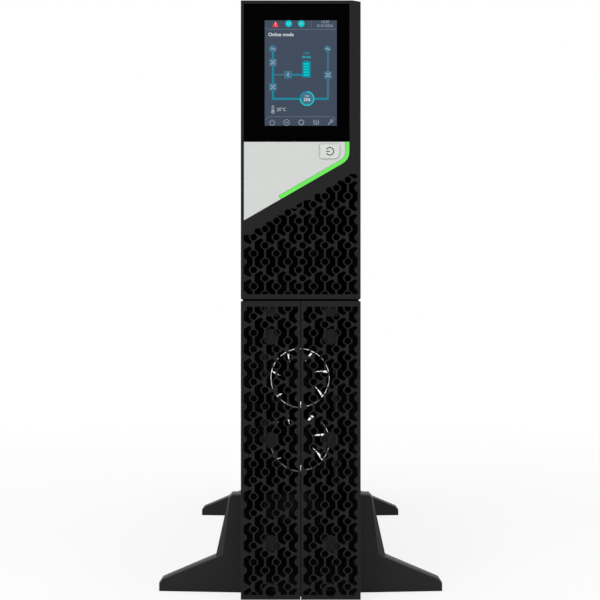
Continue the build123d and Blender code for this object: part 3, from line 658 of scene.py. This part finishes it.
def display():
    """Black glass with its window."""
    glass = rounded(face(GLASS_LOW, GLASS_HIGH), RIM)
    window = inset(face(SCREEN_LOW, SCREEN_HIGH), -FIT)
    plate = slab([glass, window], 0, RECESS, GLASS_EDGE)
    piece("glass", [plate], "display_glass", stands_for=["display_glass"])
    dress("display_screen", "display_screen")


def sloped(mesh, low, high, drop):
    """Mesh whose front falls back by a drop between two heights."""
    shape = bmesh.new()
    shape.from_mesh(mesh)
    bisect(shape, (0, 0, low * MM), (0, 0, 1))
    for corner in shape.verts:
        above = corner.co.z / MM - low
        if above > 0 and corner.co.y < FRONT_Y:
            corner.co.y += drop * MM * above / (high - low)
    shape.to_mesh(mesh)
    shape.free()
    return mesh


def label():
    """Pale label panel with its button hole, and the green strip along its edges."""
    top, corner, end, outer = label_band(STRIP_WIDTH + FIT, STRIP_LENGTH + FIT)
    inner_r = LABEL_CORNER_R - STRIP_WIDTH - FIT
    points = [(GLASS_LOW.x, LABEL_LOW.z), outer, end, corner, top, (GLASS_LOW.x, LABEL_HIGH.z)]
    shape = rounded(points, [RIM, RIM, RIM, inner_r, RIM, RIM], ROUND_STEPS)
    thick = RECESS + LABEL_PROUD
    plate = slab([shape, button_shape(BUTTON_GAP)], -LABEL_PROUD, thick, LABEL_EDGE)
    high = LABEL_HIGH.z
    plate = sloped(plate, high - LABEL_SLOPE_WIDTH, high, LABEL_PROUD - LABEL_EDGE)
    near = BUTTON_LIP_DEPTH - LABEL_PROUD
    lip = slab([button_shape(2 * BUTTON_GAP), button_shape(BUTTON_LIP)], near, RECESS - near)
    piece("label", [plate, lip], "label_plastic", stands_for=["label_panel"], smooth=10.0)
    top, corner, end, outer = label_band(STRIP_WIDTH, STRIP_LENGTH)
    points = [outer, LABEL_CORNER, (GLASS_HIGH.x, LABEL_HIGH.z), top, corner, end]
    radii = [RIM, LABEL_CORNER_R, RIM, RIM, LABEL_CORNER_R - STRIP_WIDTH, RIM]
    strip = slab([rounded(points, radii, ROUND_STEPS)], -LABEL_PROUD, thick, LABEL_EDGE)
    piece("strip", [strip], "green_plastic", stands_for=["green_strip"])


def button():
    """Power button with its printed symbol, turned on its side."""
    front = BUTTON_LOW.y
    back = BUTTON_HIGH.y - BUTTON_FLANGE
    cap = slab([button_shape()], front + INK, back - front - INK, BUTTON_EDGE)
    flange = slab([button_shape(BUTTON_GAP + BUTTON_FLANGE)], back, BUTTON_FLANGE)
    piece("button_cap", [cap, flange], "button_plastic", body="button", stands_for=["power_button"])
    low, _, high, _ = button_outline()
    x, z = (low + high) / 2
    half = SYMBOL_LINE / 2
    turn = 2 * (pi - SYMBOL_GAP) / SYMBOL_STEPS
    turns = [-pi + SYMBOL_GAP + i * turn for i in range(SYMBOL_STEPS + 1)]
    arc = []
    for radius, way in ((SYMBOL_R + half, turns), (SYMBOL_R - half, reversed(turns))):
        arc += [(x + radius * cos(t), z + radius * sin(t)) for t in way]
    bar = box_outline(x - SYMBOL_R + SYMBOL_BAR[0], x + SYMBOL_BAR[1], z - half, z + half)
    ink = [slab([shape], front, 2 * INK) for shape in (arc, rounded(bar, SYMBOL_BAR_R))]
    piece("button_symbol", ink, "symbol_ink", body="button")


display()
label()
button()


# Content of the display: a mimic diagram drawn about the middle of the screen, in millimetres

UI_LAYER = 0.05
UI_THICK = 0.04
_, _, UI_X, UI_Z = centred("display_screen")
UI_LINE, UI_RULE, UI_THIN, UI_BOLD = 1.5, 0.6, 0.45, 0.04
LEFT, RIGHT, BOTTOM, BRANCH = -20.4, 20.0, -19.0, -1.3
UI_BOX, UI_BOX_R = 5.5, 0.5
ALARM_X, CLOCK_X = -18.5, 17.8
LAMP_R, LAMP_Z = 2.4, 36.2
WAVE_WIDTH, WAVE_RISE, WAVE_STEPS = 3.0, 0.66, 8
MAINS_Z, MAINS_R = 17.7, 2.8
OUTPUT_X, OUTPUT_R = RIGHT - 0.3, 2.4
RECTIFIER_Z, INVERTER_Z, BYPASS_Z = 7.8, -10.3, -1.5
CHARGER_X = -9.3
BATTERY_X, BATTERY_Z, BATTERY_SIZE = 4.2, 2.6, (6.2, 11.6)
BATTERY_CAP, BATTERY_CAP_Z = (2.8, 0.8), 8.8
CELLS, CELL_SIZE, CELL_Z, CELL_PITCH = 5, (4.0, 1.2), -1.5, 2.05
RING_X, RING_Z = 4.6, -18.8
RING_OUTER, RING_INNER, RING_FACE = 5.4, 4.5, 4.4
RING_STEPS, RING_LIT = 48, 36
STEM_Z, BULB_Z, ICON_Z = -26.2, -28.6, -36.3
EVENTS_X = -10.45
GEAR_X, GEAR_STEPS, GEAR_TIP, GEAR_ROOT, GEAR_BORE = 0.4, 32, 2.3, 1.9, 1.45
SLIDER_X, SLIDER_PITCH, SLIDER_HALF = 9.7, 1.6, 2.0

ink = {name: [] for name in INKS}


def draw(tone, *outlines, layer=0):
    """Flat shape on the screen, given about the middle of the screen."""
    moved = [[Vector(point) + Vector((UI_X, UI_Z)) for point in outline] for outline in outlines]
    ink[tone].append(slab(moved, SCREEN_LOW.y - UI_LAYER * (layer + 1), UI_THICK))


def stroke(tone, *points, width=UI_LINE, layer=0):
    """Line along points: one flat bar for each run."""
    for start, end in zip(points, points[1:]):
        start, end = Vector(start), Vector(end)
        side = (end - start).normalized().orthogonal() * width / 2
        draw(tone, [start - side, end - side, end + side, start + side], layer=layer)


def sign(x, z, *points, width=UI_THIN):
    """Thin pale line on top, along points given about a place."""
    stroke("pale", *[(x + px, z + pz) for px, pz in points], width=width, layer=1)


def words(tone, content, height, x, z):
    """Lettering on top, centred on a point of the screen, its strokes made bolder."""
    curve = bpy.data.curves.new("words", "FONT")
    curve.body = content
    curve.size = height
    curve.offset = UI_BOLD
    curve.align_x = curve.align_y = "CENTER"
    curve.extrude = UI_THICK / 2
    curve.resolution_u = 4
    near = SCREEN_LOW.y - 2 * UI_LAYER
    middle = (UI_X + x, UI_Z + z, -(near + UI_THICK / 2))
    ink[tone].append(as_mesh(curve, FRONT_BOARD, middle))


def filled_box(x, z):
    """Filled box of the diagram."""
    draw("fill", rounded(about(UI_BOX, UI_BOX, x, z), UI_BOX_R))


def status_bar():
    """Alarm sign, two state lamps, clock and date, and the name of the page."""
    draw("red", rounded([(-21.0, 33.8), (-16.0, 33.8), (ALARM_X, 38.1)], UI_BOX_R))
    draw("white", about(0.5, 1.6, ALARM_X, 36.2), layer=1)
    draw("white", circle(0.3, ALARM_X, 34.7, 8), layer=1)
    for x in (-8.85, 0.4):
        draw("bright", circle(LAMP_R, x, LAMP_Z))
        sign(x, LAMP_Z, (-0.9, 0.1), (-0.2, -0.6), (1.0, 0.8), width=0.3)
    stroke("line", (7.65, 38.4), (7.65, 33.2), width=UI_THIN)
    words("icon", "10:30", 2.7, CLOCK_X, 37.4)
    words("icon", "01/01/2026", 2.6, CLOCK_X, 34.6)
    stroke("line", (-25.8, 33.6), (-24.2, 32.0), (26.3, 32.0), width=UI_RULE)
    words("white", "Online mode", 3.5, -14.5, 28.1)


def converters():
    """Mains and output with the sign of alternating current, three converters and the charger."""
    turns = [i / WAVE_STEPS for i in range(WAVE_STEPS + 1)]
    wave = [((t - 0.5) * WAVE_WIDTH, WAVE_RISE * sin(2 * pi * t)) for t in turns]
    for x, radius in ((LEFT, MAINS_R), (OUTPUT_X, OUTPUT_R)):
        draw("fill", circle(radius, x, MAINS_Z))
        sign(x, MAINS_Z, *wave)
    for x, z in ((LEFT, RECTIFIER_Z), (LEFT, INVERTER_Z), (RIGHT, BYPASS_Z)):
        filled_box(x, z)
        sign(x, z, (-1.6, -1.6), (1.6, 1.6))
        sign(x, z, (-1.7, 1.1), (-0.3, 1.1))
        sign(x, z, (0.3, -1.1), (1.7, -1.1))
    filled_box(CHARGER_X, BRANCH)
    sign(CHARGER_X, BRANCH, (0.7, 1.2), (-0.7, 0.0), (0.7, -1.2))


def links():
    """Lines that join mains, converters, battery and load."""
    half, edge = UI_BOX / 2, UI_LINE / 2
    stroke("teal", (LEFT, MAINS_Z - MAINS_R), (LEFT, RECTIFIER_Z + half))
    stroke("teal", (LEFT, RECTIFIER_Z - half), (LEFT, INVERTER_Z + half))
    stroke("teal", (LEFT, INVERTER_Z - half), (LEFT, BOTTOM - edge))
    stroke("teal", (LEFT + edge, BOTTOM), (RING_X - RING_OUTER, BOTTOM))
    stroke("teal", (RING_X + RING_OUTER, BOTTOM), (RIGHT - edge, BOTTOM))
    stroke("fill", (RIGHT, BOTTOM - edge), (RIGHT, BYPASS_Z - half))
    stroke("fill", (RIGHT, BYPASS_Z + half), (RIGHT, MAINS_Z - OUTPUT_R), width=1.2)
    stroke("fill", (LEFT + edge, BRANCH), (CHARGER_X - half, BRANCH), width=1.0)
    left = BATTERY_X - BATTERY_SIZE[0] / 2
    stroke("teal", (CHARGER_X + half, BRANCH), (left, BRANCH), width=1.3)


def battery():
    """Battery with its cells, charge and time."""
    draw("teal", rounded(about(*BATTERY_SIZE, BATTERY_X, BATTERY_Z), UI_BOX_R))
    draw("teal", about(*BATTERY_CAP, BATTERY_X, BATTERY_CAP_Z))
    for i in range(CELLS):
        draw("bright", about(*CELL_SIZE, BATTERY_X, CELL_Z + CELL_PITCH * i), layer=1)
    words("teal", "100%", 2.4, BATTERY_X, 14.4)
    words("bright", "20 min", 2.3, BATTERY_X, 11.6)


def load_ring():
    """Round gauge of the load."""
    outer, inner = [
        [Vector((RING_X + point.y, RING_Z + point.x)) for point in circle(radius, sides=RING_STEPS)]
        for radius in (RING_OUTER, RING_INNER)
    ]
    outer, inner = outer + outer[:1], inner + inner[:1]
    draw("bright", outer[:RING_LIT + 1] + inner[RING_LIT::-1])
    draw("teal", outer[RING_LIT:] + inner[:RING_LIT - 1:-1])
    draw("fill", circle(RING_FACE, RING_X, RING_Z))
    words("pale", "load", 1.8, RING_X, RING_Z + 2.0)
    words("white", "25%", 3.0, RING_X, RING_Z - 0.9)


def footer():
    """Thermometer, and the icons along the foot of the screen."""
    outer, inner = about(1.5, 4.6, LEFT, STEM_Z), about(0.8, 4.0, LEFT, STEM_Z)
    draw("pale", rounded(outer, 0.7), rounded(inner, 0.4))
    draw("pale", circle(1.2, LEFT, BULB_Z), circle(0.7, LEFT, BULB_Z))
    words("pale", "25°C", 3.3, -14.2, -26.9)
    stroke("line", (-25.8, -34.4), (-23.4, -32.0), (23.2, -32.0), (25.6, -34.4), width=UI_RULE)
    z = ICON_Z
    stroke("icon", (-23.2, z), (-20.95, z + 1.9), (-18.7, z), width=UI_THIN)
    stroke("icon", (-22.4, z), (-22.4, z - 1.9), (-19.5, z - 1.9), (-19.5, z), width=UI_THIN)
    draw("icon", circle(2.3, EVENTS_X, z), circle(1.85, EVENTS_X, z))
    stroke("icon", (-11.4, z - 0.6), (EVENTS_X, z + 0.5), (-9.5, z - 0.6), width=UI_THIN)
    teeth = []
    for i, point in enumerate(circle(1.0, sides=GEAR_STEPS)):
        radius = GEAR_TIP if i % 4 < 2 else GEAR_ROOT
        teeth.append(Vector((GEAR_X, z)) + radius * point)
    draw("icon", teeth, circle(GEAR_BORE, GEAR_X, z, 16))
    for i, knob in enumerate((0.8, -0.9, 0.3)):
        x = SLIDER_X + SLIDER_PITCH * i
        stroke("icon", (x, z - SLIDER_HALF), (x, z + SLIDER_HALF), width=UI_THIN)
        draw("icon", about(1.2, 0.8, x, z + knob), layer=1)
    stroke("icon", (20.0, z - 1.7), (22.4, z + 0.9), width=0.7)
    draw("icon", circle(1.2, 22.7, z + 1.2, 16), circle(0.55, 23.0, z + 1.5, 12))


status_bar()
converters()
links()
battery()
load_ring()
footer()
for name, meshes in ink.items():
    piece(f"screen_{name}", meshes, f"screen_{name}")


# Fans and finger guards

WIRE_R = 0.8
GUARD_RINGS = (9.5, 18.5, 27.5, 36.5)
GUARD_REACH = (47.6, 45.4, 42.6)
SCREW_HALF = 35.75
EYE_R = 2.7
SCREW_ARM, SCREW_ARM_HALF, SCREW_RECESS = 0.62, 0.16, 0.6
SCREW_EDGE = 0.25
GUARD_SCREW, SIDE_SCREW, REAR_SCREW = (3.1, 2.2), (2.6, 1.2), (2.8, 1.6)
SHANK_R, SHANK_SINK = 1.8, 1.0
FRAME_RIM = 0.5
HUB_R, HUB_EDGE = 15.9, 1.0
ROTOR_R = 37.4
BLADES = 7
BLADE_STEPS = 8
BLADE_POINTS = 10
BLADE_THICK = 1.7
BLADE_CAMBER = 0.06
BLADE_SWEEP = radians(14.0)
BLADE_REACH = (HUB_R - 1, ROTOR_R)
BLADE_CHORD = (22.0, 33.5)
BLADE_PITCH = (radians(46.0), radians(24.0))


def wire(path, closed=False):
    """Mesh of guard wire along points given as X, depth and Z in millimetres."""
    curve = bpy.data.curves.new("wire", "CURVE")
    curve.dimensions = "3D"
    curve.bevel_depth = WIRE_R
    curve.bevel_resolution = 2
    curve.use_fill_caps = True
    run_through(curve, path, closed)
    return as_mesh(curve, Matrix.Translation((0, FRONT_Y, 0)))


def hoop(radius, x, z, depth, sides):
    """Closed ring of guard wire."""
    return wire([(p.x, depth, p.y) for p in circle(radius, x, z, sides)], closed=True)


def screw(x, z, depth, size, board=FRONT_BOARD, out=1):
    """Pan head of a radius and height with a cross recess, standing out from a face."""
    radius, height = size
    arm, half = SCREW_ARM * radius, SCREW_ARM_HALF * radius
    cross = []
    for turn in range(4):
        for px, pz in ((half, half), (arm, half), (arm, -half)):
            quarter = Matrix.Rotation(-turn * pi / 2, 2)
            cross.append(quarter @ Vector((px, pz)) + Vector((x, z)))
    edge = circle(radius, x, z, 24)
    recess = height * SCREW_RECESS
    base = height - recess
    head_near, base_near = (depth + base, depth) if out > 0 else (depth - height, depth - base)
    head = slab([edge, cross], head_near, recess, SCREW_EDGE, board)
    return [head, slab([edge], base_near, base, 0.0, board)]


def guard(place):
    """Finger guard: round rings on two crossed wires that bend down to eyes under screws."""
    _, high, _, z = centred(f"{place}_fan_guard")
    ring_y = high.y - WIRE_R
    cross_y = ring_y - 2 * WIRE_R
    foot_y = REAR + WIRE_R
    meshes = [hoop(radius, 0, z, ring_y, 64) for radius in GUARD_RINGS]
    bend = 1 / sqrt(2)
    for slope in (1, -1):
        path = []
        for reach, depth in zip(GUARD_REACH, (foot_y, foot_y, cross_y)):
            path.append((-reach * bend, depth, z - slope * reach * bend))
        path += [(-x, depth, 2 * z - height) for x, depth, height in reversed(path)]
        meshes.append(wire(path))
    screws = []
    for x in (-SCREW_HALF, SCREW_HALF):
        for dz in (-SCREW_HALF, SCREW_HALF):
            meshes.append(hoop(EYE_R, x, z + dz, foot_y, 20))
            screws += screw(x, z + dz, REAR + 2 * WIRE_R, GUARD_SCREW)
            shank = circle(SHANK_R, x, z + dz, 16)
            screws.append(slab([shank], REAR - SHANK_SINK, 2 * WIRE_R + SHANK_SINK))
    piece(f"{place}_guard", meshes, "guard_wire", stands_for=[f"{place}_fan_guard"], smooth=50.0)
    piece(f"{place}_guard_screws", screws, "port_steel", smooth=30.0)


def blade(turn):
    """Twisted, swept blade with a curved section: loops of points from the hub to the tip."""
    loops = []
    for step in range(BLADE_STEPS + 1):
        share = step / BLADE_STEPS
        radius, chord, pitch = [
            root + (tip - root) * share for root, tip in (BLADE_REACH, BLADE_CHORD, BLADE_PITCH)
        ]
        around = turn - BLADE_SWEEP * share
        loop = []
        for i in range(2 * BLADE_POINTS):
            along = cos(pi * i / BLADE_POINTS) / 2
            fullness = max(0.0, 1 - (2 * along) ** 2)
            across = BLADE_CAMBER * chord * fullness
            across += (1 if i < BLADE_POINTS else -1) * BLADE_THICK / 2 * sqrt(fullness)
            tangent = along * chord * cos(pitch) + across * sin(pitch)
            axial = -along * chord * sin(pitch) + across * cos(pitch)
            angle = around + tangent / radius
            loop.append((radius * cos(angle), axial, radius * sin(angle)))
        loops.append(loop)
    return loops


def rotor(place):
    """Fan rotor: a round hub with a soft rim and twisted blades."""
    node, body = f"{place}_fan_rotor", f"{place}_rotor"
    low, high, _, z = centred(node)
    hub = slab([circle(HUB_R, 0, z, 64)], low.y, high.y - low.y, HUB_EDGE)
    shape = bmesh.new()
    middle = Vector((0, (low.y + high.y) / 2, z)) * MM + Vector((0, FRONT_Y, 0))
    for i in range(BLADES):
        rings = []
        for loop in blade(2 * pi * i / BLADES):
            rings.append([shape.verts.new(Vector(point) * MM + middle) for point in loop])
        for inner, outer in zip(rings, rings[1:]):
            for j in range(len(inner)):
                shape.faces.new((inner[j - 1], inner[j], outer[j], outer[j - 1]))
        shape.faces.new(rings[0])
        shape.faces.new(rings[-1])
    bmesh.ops.recalc_face_normals(shape, faces=shape.faces)
    meshes = [hub, as_data(shape, "blades")]
    piece(f"{place}_blades", meshes, "fan_plastic", body=body, stands_for=[node], smooth=40.0)


for place in ("lower", "upper"):
    guard(place)
    soft_piece(f"{place}_frame", f"{place}_fan_frame", FRAME_RIM, "fan_plastic", smooth=40.0)
    rotor(place)


# Case, rear sockets and ports

SHEET_RIM, SOCKET_RIM, COVER_RIM = 0.25, 0.4, 0.3
FINE_EDGE, EDGE, SOFT_EDGE = 0.1, 0.2, 0.3
SIDE_SCREW_DEPTHS = (40.0, 215.0, 390.0, 565.0)
SIDE_SCREW_INSET = 9.0
REAR_SCREWS = ((38.0, 434.0), (38.0, 194.0), (38.0, 13.0))
CARD_SCREW_INSET = 6.0
KNOB_R, KNOB_LENGTH, KNURL = 3.4, 3.6, 0.04
KNOB_TIP_R, KNOB_TIP_NEAR, KNOB_TIP_LENGTH = 1.6, 3.4, 0.8
HEXAGON_R, NUT_EDGE = 0.3, 0.25
BREAKER_NUT_R, BREAKER_BORE, BREAKER_NUT_THICK = 9.4, 6.2, 2.0
BARREL_R, RESET_R, RESET_EDGE = 7.4, 4.5, 0.5
COLLAR_R, COLLAR_BORE, COLLAR_LENGTH, COLLAR_SINK = 6.1, 4.8, 3.4, 1.0
STUD_R, STUD_SINK = 2.1, 1.0
RIDGE_R, RIDGE_THICK, RIDGE_EDGE = 2.45, 0.35, 0.12
RIDGES, RIDGE_FIRST, RIDGE_PITCH = 4, 0.9, 0.55
STUD_NUT_R, STUD_NUT_THICK = 4.5, 3.0
WASHER_R, WASHER_THICK = 5.0, 0.5
PORT_SHELL, PORT_SHELL_EDGE = 0.5, 0.12
USB_R, USB_MOUTH_R, USB_FLOOR, USB_OVERLAP = 0.6, 0.3, 3.0, 0.2
USB_MOUTH, USB_STRAIGHT, USB_BEVEL = (8.4, 7.8), 6.2, 1.6
USB_TONGUE, USB_CONTACT, USB_CONTACT_PLACE = (5.6, 3.2), (1.0, 0.16), (1.3, 1.62)
TONGUE_BACK, CONTACT_NEAR, CONTACT_CUT = 1.0, 1.0, 2.4
SERIAL_FLANGE, SERIAL_FLANGE_R = 1.5, 1.5
SERIAL_MOUTH = ((-7.0, -4.2), (7.0, -4.2), (8.5, 4.2), (-8.5, 4.2))
SERIAL_MOUTH_R, SERIAL_INNER_R, CORE_NEAR = 1.2, 0.9, 1.0
POST_X, HEX_POST_R, POST_BORE, POST_LENGTH = 12.5, 2.7, 1.2, 4.5
PIN_R, PIN_PITCH, PIN_NEAR, PIN_LENGTH = 0.5, 2.76, 2.0, 2.5
PIN_ROWS = ((5, 1.42), (4, -1.42))


def case():
    """Sheet-metal case with the screws along its seams and on its rear panel."""
    for node in ("chassis_tray", "chassis_cover"):
        soft_piece(f"{node}_sheet", node, SHEET_RIM, "case_paint")
    dress("rear_panel", "case_paint")
    for side, name in ((-1, "left"), (1, "right")):
        # Drawing board on this side of the case: depth and Z, facing out
        axes = Matrix(((0, 0, side), (side, 0, 0), (0, 1, 0))).to_4x4()
        board = Matrix.Translation((side * CASE_HIGH.x * MM, FRONT_Y, 0)) @ axes
        heads = []
        for depth in SIDE_SCREW_DEPTHS:
            for z in (CASE_LOW.z + SIDE_SCREW_INSET, CASE_HIGH.z - SIDE_SCREW_INSET):
                heads += screw(side * depth, z, 0, SIDE_SCREW, board, -1)
        piece(f"{name}_case_screws", heads, "case_paint", smooth=30.0)
    heads = []
    for x, z in REAR_SCREWS:
        heads += screw(x, z, REAR, REAR_SCREW) + screw(-x, z, REAR, REAR_SCREW)
    piece("rear_panel_screws", heads, "port_steel", smooth=30.0)


def sockets():
    """Mains inlet and outlets with soft rims, and the cover of the card slot on thumb screws."""
    for node in ("left_outlet_block", "right_outlet_block", "mains_inlet"):
        soft_piece(f"{node}_shell", node, SOCKET_RIM, "socket_plastic")
    soft_piece("pins", "inlet_pins", SOCKET_RIM, "pin_brass")
    soft_piece("slot_cover", "card_slot_cover", COVER_RIM, "case_paint", smooth=20.0)
    low, high, x, _ = centred("card_slot_cover")
    knobs = []
    for z in (low.z + CARD_SCREW_INSET, high.z - CARD_SCREW_INSET):
        knurl = circle(KNOB_R, x, z, 48)
        knurl = [p + (p - Vector((x, z))) * KNURL * (-1) ** i for i, p in enumerate(knurl)]
        knobs.append(slab([knurl], high.y, KNOB_LENGTH, SOFT_EDGE))
        tip = circle(KNOB_TIP_R, x, z, 20)
        knobs.append(slab([tip], high.y + KNOB_TIP_NEAR, KNOB_TIP_LENGTH, EDGE))
    piece("card_slot_screws", knobs, "port_steel", smooth=30.0)


def hexagon(radius, x, z):
    """Six-sided outline with softened corners."""
    return rounded(circle(radius, x, z, 6), HEXAGON_R)


def breaker():
    """Push-to-reset breaker in its ring nut."""
    node = "circuit_breaker"
    low, high, x, z = centred(node)
    ring = [hexagon(BREAKER_NUT_R, x, z), circle(BREAKER_BORE, x, z)]
    piece("breaker_nut", [slab(ring, REAR, BREAKER_NUT_THICK, NUT_EDGE)], "port_steel")
    near = REAR - COLLAR_SINK
    barrel = slab([circle(BARREL_R, x, z)], low.y, REAR - low.y)
    collar = slab([circle(COLLAR_R, x, z), circle(COLLAR_BORE, x, z)], near, COLLAR_LENGTH, EDGE)
    knob = slab([circle(RESET_R, x, z)], near, high.y - near, RESET_EDGE)
    piece("breaker_body", [barrel, collar, knob], "socket_plastic", stands_for=[node], smooth=30.0)


def stud():
    """Threaded earth stud with its head, washer and nut."""
    low, high, x, z = centred("earth_stud")
    start = low.y + STUD_SINK
    meshes = [slab([circle(STUD_R, x, z, 24)], start, high.y - start, SOFT_EDGE)]
    for i in range(RIDGES):
        near = high.y - RIDGE_FIRST - RIDGE_PITCH * i
        meshes.append(slab([circle(RIDGE_R, x, z, 24)], near, RIDGE_THICK, RIDGE_EDGE))
    nut = [hexagon(STUD_NUT_R, x, z)]
    meshes.append(slab(nut, REAR, STUD_NUT_THICK, NUT_EDGE))
    meshes.append(slab([circle(WASHER_R, x, z)], REAR, WASHER_THICK, FINE_EDGE))
    piece("stud_and_nut", meshes, "pin_brass", stands_for=["earth_stud"], smooth=30.0)
    piece("stud_head", [slab(nut, low.y, STUD_NUT_THICK, FINE_EDGE)], "case_paint")


def usb():
    """Square USB port: a folded shell round a tongue with its contacts."""
    low, high, x, z = centred("usb_port")
    near, depth = low.y + USB_FLOOR, high.y - low.y - USB_FLOOR
    outer = rounded(face(low, high), USB_R)
    left, right, top_right, top_left = about(*USB_MOUTH, x, z)
    up, inwards = Vector((0, USB_STRAIGHT)), Vector((USB_BEVEL, 0))
    mouth = [left, right, right + up, top_right - inwards, top_left + inwards, left + up]
    shell = slab([outer, rounded(mouth, USB_MOUTH_R)], near, depth, PORT_SHELL / 4)
    floor = slab([outer], low.y, USB_FLOOR + USB_OVERLAP)
    piece("usb_shell", [shell, floor], "port_steel", stands_for=["usb_port"])
    tongue = slab([rounded(about(*USB_TONGUE, x, z), EDGE)], near, depth - TONGUE_BACK, FINE_EDGE)
    piece("usb_tongue", [tongue], "socket_plastic")
    contacts = []
    across, up = USB_CONTACT_PLACE
    for side in (-1, 1):
        for height in (-1, 1):
            contact = about(*USB_CONTACT, x + across * side, z + up * height)
            contacts.append(slab([contact], near + CONTACT_NEAR, depth - CONTACT_CUT))
    piece("usb_contacts", contacts, "pin_brass")


def serial():
    """Nine-way serial port: flange with two hexagon posts, D-shaped shell and pins."""
    low, high, x, z = centred("serial_port")
    mouth = [Vector((x + px, z + pz)) for px, pz in SERIAL_MOUTH]
    outer, inner = rounded(mouth, SERIAL_MOUTH_R), rounded(inset(mouth, PORT_SHELL), SERIAL_INNER_R)
    edge = rounded(face(low, high), SERIAL_FLANGE_R)
    flange = slab([edge], REAR, SERIAL_FLANGE, EDGE)
    shell = slab([outer, inner], REAR, high.y - REAR, PORT_SHELL_EDGE)
    back = slab([outer], low.y, REAR - low.y)
    piece("serial_shell", [flange, shell, back], "port_steel", stands_for=["serial_port"])
    posts = []
    for px in (x - POST_X, x + POST_X):
        post = [hexagon(HEX_POST_R, px, z), circle(POST_BORE, px, z, 20)]
        posts.append(slab(post, REAR + SERIAL_FLANGE, POST_LENGTH, EDGE))
    piece("serial_posts", posts, "port_steel")
    piece("serial_core", [slab([inner], REAR + CORE_NEAR, SERIAL_FLANGE)], "socket_plastic")
    pins = []
    for count, height in PIN_ROWS:
        for i in range(count):
            pin = circle(PIN_R, x + PIN_PITCH * (i - (count - 1) / 2), z + height, 12)
            pins.append(slab([pin], REAR + PIN_NEAR, PIN_LENGTH, EDGE))
    piece("serial_pins", pins, "pin_brass", smooth=40.0)


case()
sockets()
breaker()
stud()
usb()
serial()


# Tower feet

FOOT_RIM = 0.5

for end in ("front", "rear"):
    for side in ("left", "right"):
        node, name = f"{end}_{side}_foot", f"{end}_{side}_stand"
        soft_piece(name, node, FOOT_RIM, "foot_plastic", segments=3, limit=12.0)


# Floor, background, light and camera

FLOOR_SIZE = 30.0
FLOOR_GLOW = 0.8
FLOOR_GLOW_REACH = (0.35, 1.4)
WORLD_LIGHT = 0.5
CAMERA_PLACE = Vector((-0.0012, FRONT_Y - 0.7705, 0.1896))
CAMERA_LENS = 63.0
CAMERA_SHIFT = (0.0015, 0.0737)
CAMERA_CLIP = (0.01, 100.0)
LAMP_TARGET = (0, 0, 0.2)


def seen_directly(tree):
    """One for camera, glossy and transmission rays, nought for the rest."""
    path = add(tree, "LightPath")
    total = path.outputs["Is Camera Ray"]
    for ray in ("Is Glossy Ray", "Is Transmission Ray"):
        total = add(tree, "Math", {0: total, 1: path.outputs[ray]}, operation="MAXIMUM").outputs[0]
    return total


def studio_floor():
    """Pale floor that keeps the shadow and meets the background without a line."""
    sheet = bmesh.new()
    bmesh.ops.create_grid(sheet, x_segments=1, y_segments=1, size=FLOOR_SIZE)
    plane = as_data(sheet, "floor")
    floor = placed("floor", plane)
    paper = bpy.data.materials.new("matt_white_paper")
    paper.use_nodes = True
    tree = paper.node_tree
    tree.nodes.clear()
    matt = add(tree, "BsdfDiffuse", {"Color": colour("#F4F4F4")})
    glow = add(tree, "Emission")
    place = add(tree, "TexCoord").outputs["Object"]
    away = add(tree, "VectorMath", {0: place}, operation="LENGTH")
    fade = add(tree, "MapRange", {
        "Value": away.outputs["Value"], "To Min": FLOOR_GLOW,
        "From Min": FLOOR_GLOW_REACH[0], "From Max": FLOOR_GLOW_REACH[1],
    })
    both = {0: seen_directly(tree), 1: fade.outputs["Result"]}
    share = add(tree, "Math", both, operation="MULTIPLY")
    mixed = add(tree, "MixShader", {0: share.outputs[0], 1: matt.outputs[0], 2: glow.outputs[0]})
    add(tree, "OutputMaterial", {"Surface": mixed.outputs[0]})
    plane.materials.append(paper)


def studio_world():
    """Even white surroundings, dimmer as a light than as a background."""
    world = bpy.data.worlds.new("white_studio")
    bpy.context.scene.world = world
    world.use_nodes = True
    tree = world.node_tree
    tree.nodes.clear()
    strength = add(tree, "MapRange", {"Value": seen_directly(tree), "To Min": WORLD_LIGHT})
    sky = add(tree, "Background", {"Color": (1, 1, 1, 1), "Strength": strength.outputs["Result"]})
    add(tree, "OutputWorld", {"Surface": sky.outputs[0]})


def softbox(name, place, size, watts):
    """Large square lamp that looks at the part."""
    lamp = bpy.data.lights.new(name, "AREA")
    lamp.size = size
    lamp.energy = watts
    holder = placed(name, lamp)
    holder.location = place
    way = Vector(LAMP_TARGET) - Vector(place)
    holder.rotation_euler = way.to_track_quat("-Z", "Y").to_euler()


def photograph_camera():
    """Level camera in front of the panel, with the lens shifted up as in the photograph."""
    lens = bpy.data.cameras.new("camera")
    lens.lens = CAMERA_LENS
    lens.shift_x, lens.shift_y = CAMERA_SHIFT
    lens.clip_start, lens.clip_end = CAMERA_CLIP
    camera = placed("camera", lens)
    camera.location = CAMERA_PLACE
    camera.rotation_euler = (pi / 2, 0, 0)
    bpy.context.scene.camera = camera


studio_floor()
studio_world()
softbox("key", (-1.6, -2.4, 1.9), 1.6, 33)
softbox("fill", (2.0, -2.0, 1.2), 1.6, 16)
softbox("top", (0, 0.4, 2.4), 1.4, 22)
photograph_camera()
bpy.context.scene.view_settings.view_transform = "Standard"
